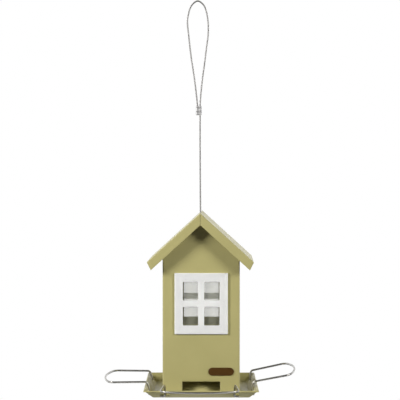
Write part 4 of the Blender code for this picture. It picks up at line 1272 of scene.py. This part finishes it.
def smooth_way(route, step):
    """Points a step apart on a smooth curve through the route.

    It is made of cubic pieces whose slope at each knot is the line between the knot's neighbours over
    the distance between them.
    """
    knots = np.array([(x, 0, z) for x, z in route])
    along = lengths_along(knots)
    index = np.arange(len(knots))
    low, high = np.maximum(index - 1, 0), np.minimum(index + 1, len(knots) - 1)
    slopes = (knots[high] - knots[low]) / (along[high] - along[low])[:, None]
    at = np.linspace(0, along[-1], math.ceil(along[-1] / step) + 1)
    span = np.clip(np.searchsorted(along, at, side="right") - 1, 0, len(knots) - 2)
    width = (along[span + 1] - along[span])[:, None]
    t = (at - along[span])[:, None] / width
    leave, arrive = slopes[span] * width, slopes[span + 1] * width
    first = knots[span] * (2 * t ** 3 - 3 * t ** 2 + 1) + leave * (t ** 3 - 2 * t ** 2 + t)
    return first + knots[span + 1] * (3 * t ** 2 - 2 * t ** 3) + arrive * (t ** 3 - t ** 2)


def make_cable(finish):
    """The wire rope: six strands laid round each other.

    Its ring is the outline of six circles, turned steadily along the run.
    """
    path = smooth_way(CABLE_ROUTE, CABLE_STEP)
    along = lengths_along(path)
    sides = STRANDS * 5
    strand = CABLE / 6
    ring = CABLE / 2 - strand

    def outline(angle):
        phase = angle[None, :] - (along * 2 * math.pi / STRAND_LAY)[:, None]
        step = 2 * math.pi / STRANDS
        off = (phase + step / 2) % step - step / 2
        reach = ring * np.cos(off) + np.sqrt(np.maximum(strand ** 2 - (ring * np.sin(off)) ** 2, 0))
        return reach / (CABLE / 2)

    radii = np.full(len(path), CABLE / 2)
    points, quads, caps = tube(path, radii, (0, 1, 0), sides, outline)
    cable = new_piece("hanging_cable_rope", points, quads, finish, caps, smooth=70)
    store_run(cable, path, sides)
    # 0 on the strands' crowns and 1 down in the grooves between them; the finish darkens the grooves by
    # it as painted shade
    depth = np.clip((1 - outline(round_angles(sides))) * 2.6, 0, 1)
    layer = cable.data.attributes.new("groove_shade", "FLOAT", "POINT")
    layer.data.foreach_set("value", depth.astype(np.float32).ravel())
    return placed(cable, "feeder", "wire_rope", "hanging_cable"), path


def make_ferrule(finish):
    """The double-barrel crimp: two round barrels side by side with a waist, squeezed at two places.

    Section: half circles on a straight middle, the waist pinched by a bell curve. Up the length the ends
    are rounded in, and two bell-shaped dents flatten it front and back.
    """
    angle = round_angles(48)
    half_d = CABLE / 2 + GAP + 0.0008
    side = np.cos(angle)
    x = BARREL_SPACING / 2 * np.clip(side * 2.2, -1, 1) + half_d * side
    waist = 1 - 0.34 * np.exp(-(x / 0.0010) ** 2)
    y = half_d * np.sin(angle) * waist
    rows = np.array([0, 0.0001, 0.0004, *np.linspace(0.001, 0.011, 31), 0.0116, 0.0119, 0.012])
    dent = sum(np.exp(-((rows - at) / 0.0011) ** 2) for at in SQUEEZED_AT)
    to_end = np.minimum(rows, FERRULE_LENGTH - rows)
    inset = np.interp(to_end, [0, 0.0001, 0.0004, 0.001], [0.8, 0.9, 0.98, 1])
    wide = 1 - 0.02 * dent
    flat = 1 - 0.16 * dent
    points, quads, caps = closed_rings(np.stack([
        FERRULE_CENTRE + x[None] * (inset * wide)[:, None],
        y[None] * (inset * flat)[:, None],
        FERRULE_BOTTOM + rows[:, None] + 0 * x[None],
    ], axis=-1))
    ferrule = new_piece("cable_ferrule_crimp", points, quads, finish, caps, smooth=50)
    return placed(ferrule, "feeder", "soft_aluminium", "cable_ferrule")


def make_stop(finish):
    """The crimped sleeve under the bracket: a turned barrel with two pressed rings."""
    rows = np.linspace(0, 1, 25)
    dents = sum(np.exp(-((rows - at) / 0.09) ** 2) for at in (0.3, 0.7))
    edge = np.interp(np.minimum(rows, 1 - rows), [0, 0.04, 0.09], [0.86, 0.96, 1])
    radius = STOP_RADIUS * edge * (1 - 0.13 * dents)
    bottom = BRACKET_TOP - BRACKET_SHEET - GAP - STOP_LENGTH
    profile = np.stack([radius, bottom + rows * STOP_LENGTH], axis=1)
    stop = turned_piece("cable_stop_sleeve", profile, (0, 0, 0), (0, 0, 1), finish, 32, smooth=50)
    placed(stop, "feeder", "soft_aluminium", "cable_stop")


def make_bracket(finish):
    """The strip across the silo, its ends folded down, carried along y, with a bore for the cable."""
    half = BRACKET_SHEET / 2
    reach = REAR_HALF - half
    low, top = BRACKET_TOP - BRACKET_TAB, BRACKET_TOP - half
    line = bent([(-reach, low), (-reach, top), (reach, top), (reach, low)], [BEND_INNER + half] * 2)
    grid = carried(closer(line, 0.004), run(-BRACKET_HALF, BRACKET_HALF, 0.0035))
    bracket = new_piece("hanger_strip", *thickened(*grid_of(grid), BRACKET_SHEET), finish)
    bore = [(CABLE / 2 + GAP, BRACKET_TOP - 0.006), (CABLE / 2 + GAP, BRACKET_TOP + 0.004)]
    settled(bracket, [turned_piece("hanger_bore", bore, (0, 0, 0), (0, 0, 1), finish)])
    placed(bracket, "feeder", "galvanised_steel", "hanger_bracket")


# Rivets and plate


def place_rivet(name, profile, centre, axis, finish, slot_name):
    rivet = turned_piece(name + "_head", profile, centre, axis, finish)
    mark_edges(rivet.data)
    placed(rivet, "feeder", slot_name, name)


def make_rivets(painted, bare):
    """Domed heads turned about each rivet's axis, the shank through the grip and a flat tail."""
    angle = RIVET_CROWN_ANGLE + np.linspace(0, 1, 7) * (math.pi / 2 - RIVET_CROWN_ANGLE)
    dome = np.stack([RIVET_HEAD_RADIUS * np.sin(angle), -RIVET_HEAD * np.cos(angle)], axis=1)
    seat = HOUSE_HALF + GAP
    places = [("bracket_rivet_%s", 0, BRACKET_RIVET_HEIGHT, BRACKET_SHEET)]
    for number, z in enumerate(SEAM_RIVET_HEIGHTS, 1):
        places.append(("seam_rivet_%s_" + str(number), SEAM_RIVET_Y, z, SHEET))
    for hand, side in ((-1, "left"), (1, "right")):
        for name, y, z, inner_sheet in places:
            grip = seat - (REAR_HALF - inner_sheet) + GAP
            tail = [
                (RIVET_RADIUS, 0), (RIVET_RADIUS, grip), (RIVET_TAIL_RADIUS, grip),
                (RIVET_TAIL_RADIUS, grip + 0.0006), (RIVET_TAIL_RADIUS * 0.85, grip + 0.0008),
            ]
            centre, axis = (hand * seat, y, z), (-hand, 0, 0)
            place_rivet(name % side, np.vstack([dome, tail]), centre, axis, painted, "painted_rivet")
    under = HOUSE_BOTTOM + SHEET + GAP
    shank = [(RIVET_RADIUS, under), (RIVET_RADIUS, SHEET), (0.0023, 0.0001)]
    profile = np.vstack([dome * (1, -1) + (0, under), shank])
    spots = [(x, y) for y in (-SEAM_RIVET_Y, SEAM_RIVET_Y) for x in (-BASE_RIVET_X, BASE_RIVET_X)]
    for number, (x, y) in enumerate(spots, 1):
        name = "base_rivet_%d" % number
        place_rivet(name, profile, (x, y, 0), (0, 0, 1), bare, "galvanised_steel")


def make_plate(finish):
    """The bare pill: loops of a rounded bar stepped in from its rim to a gently domed face."""
    half_u, half_v = PLATE_LENGTH / 2, PLATE_HEIGHT / 2
    insets = np.array([0, 0, 0.0001, 0.00025, 0.0005, 0.0009, 0.0012, 0.002, 0.003])
    heights = np.array([0, 0.00045, 0.00062, 0.00066, 0.00066, 0.0006, 0.0006, 0.00072, 0.00078])
    centre = (PLATE_LEFT + half_u, PLATE_BOTTOM + half_v)
    loops = [rounded_loop(*centre, half_u - i, half_v - i, half_v - i - 0.00001, 12, 8) for i in insets]
    plan = np.array(loops)
    y = -(HOUSE_HALF + GAP) - heights[:, None] + 0 * plan[..., 0]
    points, quads, caps = closed_rings(np.stack([plan[..., 0], y, plan[..., 1]], axis=-1))
    plate = new_piece("name_plate_bare", points, quads, finish, caps, smooth=50)
    mark_edges(plate.data)
    placed(plate, "feeder", "brown_plate", "name_plate")


# Studio


def make_floor():
    """A pale disc well below, with a glow for the camera that rises from its middle outwards."""
    angle = round_angles(96)
    radii = np.array(FLOOR_RINGS)[:, None]
    x, y = radii * np.cos(angle), radii * np.sin(angle)
    grid = np.stack([x, y, FLOOR_HEIGHT + 0 * x], axis=-1)
    points, quads = grid_of(grid, round_again=True)
    pale, tree, shader, place = new_finish(
        "studio_floor", Roughness=0.9, Base_Color=(0.22, 0.22, 0.22, 1), Emission_Color=(1, 1, 1, 1)
    )
    flat = node(tree, "VectorMath", {"operation": "MULTIPLY"}, _0=place, _1=(1, 1, 0)).outputs[0]
    reach = node(tree, "VectorMath", {"operation": "LENGTH"}, _0=flat).outputs["Value"]
    shown = tree.nodes.new("ShaderNodeLightPath").outputs["Is Camera Ray"]
    glow = times(tree, shown, between(tree, reach, 0.2, 2.6, 0.68, 1.0))
    tree.links.new(glow, shader.inputs["Emission Strength"])
    mesh = bpy.data.meshes.new("studio_floor")
    mesh.from_pydata(points.tolist(), [], quads[:, ::-1].tolist() + [list(range(96))])
    mesh.materials.append(pale)
    floor = bpy.data.objects.new("studio_floor", mesh)
    bpy.context.scene.collection.objects.link(floor)


def add_light(name, place, size, power, colour, aim=(0, 0, 0.13)):
    """A square soft light that looks at one point of the feeder."""
    data = bpy.data.lights.new(name, "AREA")
    data.size = size
    data.energy = power
    data.color = colour
    lamp = bpy.data.objects.new(name, data)
    lamp.visible_camera = False
    way = np.array(aim, float) - np.array(place, float)
    way /= np.linalg.norm(way)
    lamp.location = place
    lamp.rotation_euler = (math.acos(-way[2]), 0, math.atan2(way[0], -way[1]) + math.pi)
    bpy.context.scene.collection.objects.link(lamp)
    return lamp


def make_surround():
    """A surround that is white for the camera and behind, and dim in front and overhead."""
    world = bpy.data.worlds.new("white_surround")
    world.use_nodes = True
    tree = world.node_tree
    shown = tree.nodes.new("ShaderNodeLightPath").outputs["Is Camera Ray"]
    way = tree.nodes.new("ShaderNodeTexCoord").outputs["Generated"]
    parts = node(tree, "SeparateXYZ", _0=way).outputs
    low = between(tree, parts[2], 0.25, 0.6, 1.0, 0.1)
    behind = times(tree, between(tree, parts[1], -0.05, 0.35, 0.04, 1.4), low)
    strength = between(tree, shown, 0.0, 1.0, behind, 1.0)
    set_sockets(tree, tree.nodes["Background"].inputs, Color=(1, 1, 1, 1), Strength=strength)
    bpy.context.scene.world = world


def make_studio():
    """Floor and surround, two soft lights high in front, one from below and one from behind."""
    make_floor()
    add_light("key_left", (-1.60, -1.05, 0.81), size=0.6, power=44.0, colour=WARM)
    add_light("key_right", (1.52, -1.17, 0.86), size=0.6, power=31.0, colour=WARM)
    add_light("below", (0, -0.12, -0.45), size=0.3, power=0.62, colour=LOW_WARM, aim=(0, -0.066, 0.01))
    back = add_light("back", (0, 1.5, 0.12), size=0.8, power=12.0, colour=NEUTRAL, aim=(0, 0.05, 0.12))
    back.visible_glossy = False
    make_surround()
    bpy.context.scene.view_settings.view_transform = "Standard"


make_camera()
build_groups()
olive = powder_coat("olive_paint", (0.420, 0.385, 0.165))
painted_rivet = powder_coat(
    "painted_rivet", (0.405, 0.370, 0.155), peel=1100.0, peel_height=0.00003, wear_and_highlight=0.9
)
white_plastic = moulded_white()
clear_plastic = clear_sheet()
bright_wire = drawn_wire()
wire_rope = rope_metal()
soft_aluminium = crimped_aluminium()
galvanised = spangled_zinc()
brown = brown_gloss()

cable, cable_path = make_cable(wire_rope)
ferrule = make_ferrule(soft_aluminium)
make_walls(olive)
make_lid(olive)
make_tray(olive)
make_deflector(olive)
make_windows(white_plastic, clear_plastic)
make_perches(bright_wire)
make_stop(soft_aluminium)
make_bracket(galvanised)
make_rivets(painted_rivet, galvanised)
make_plate(brown)
make_studio()
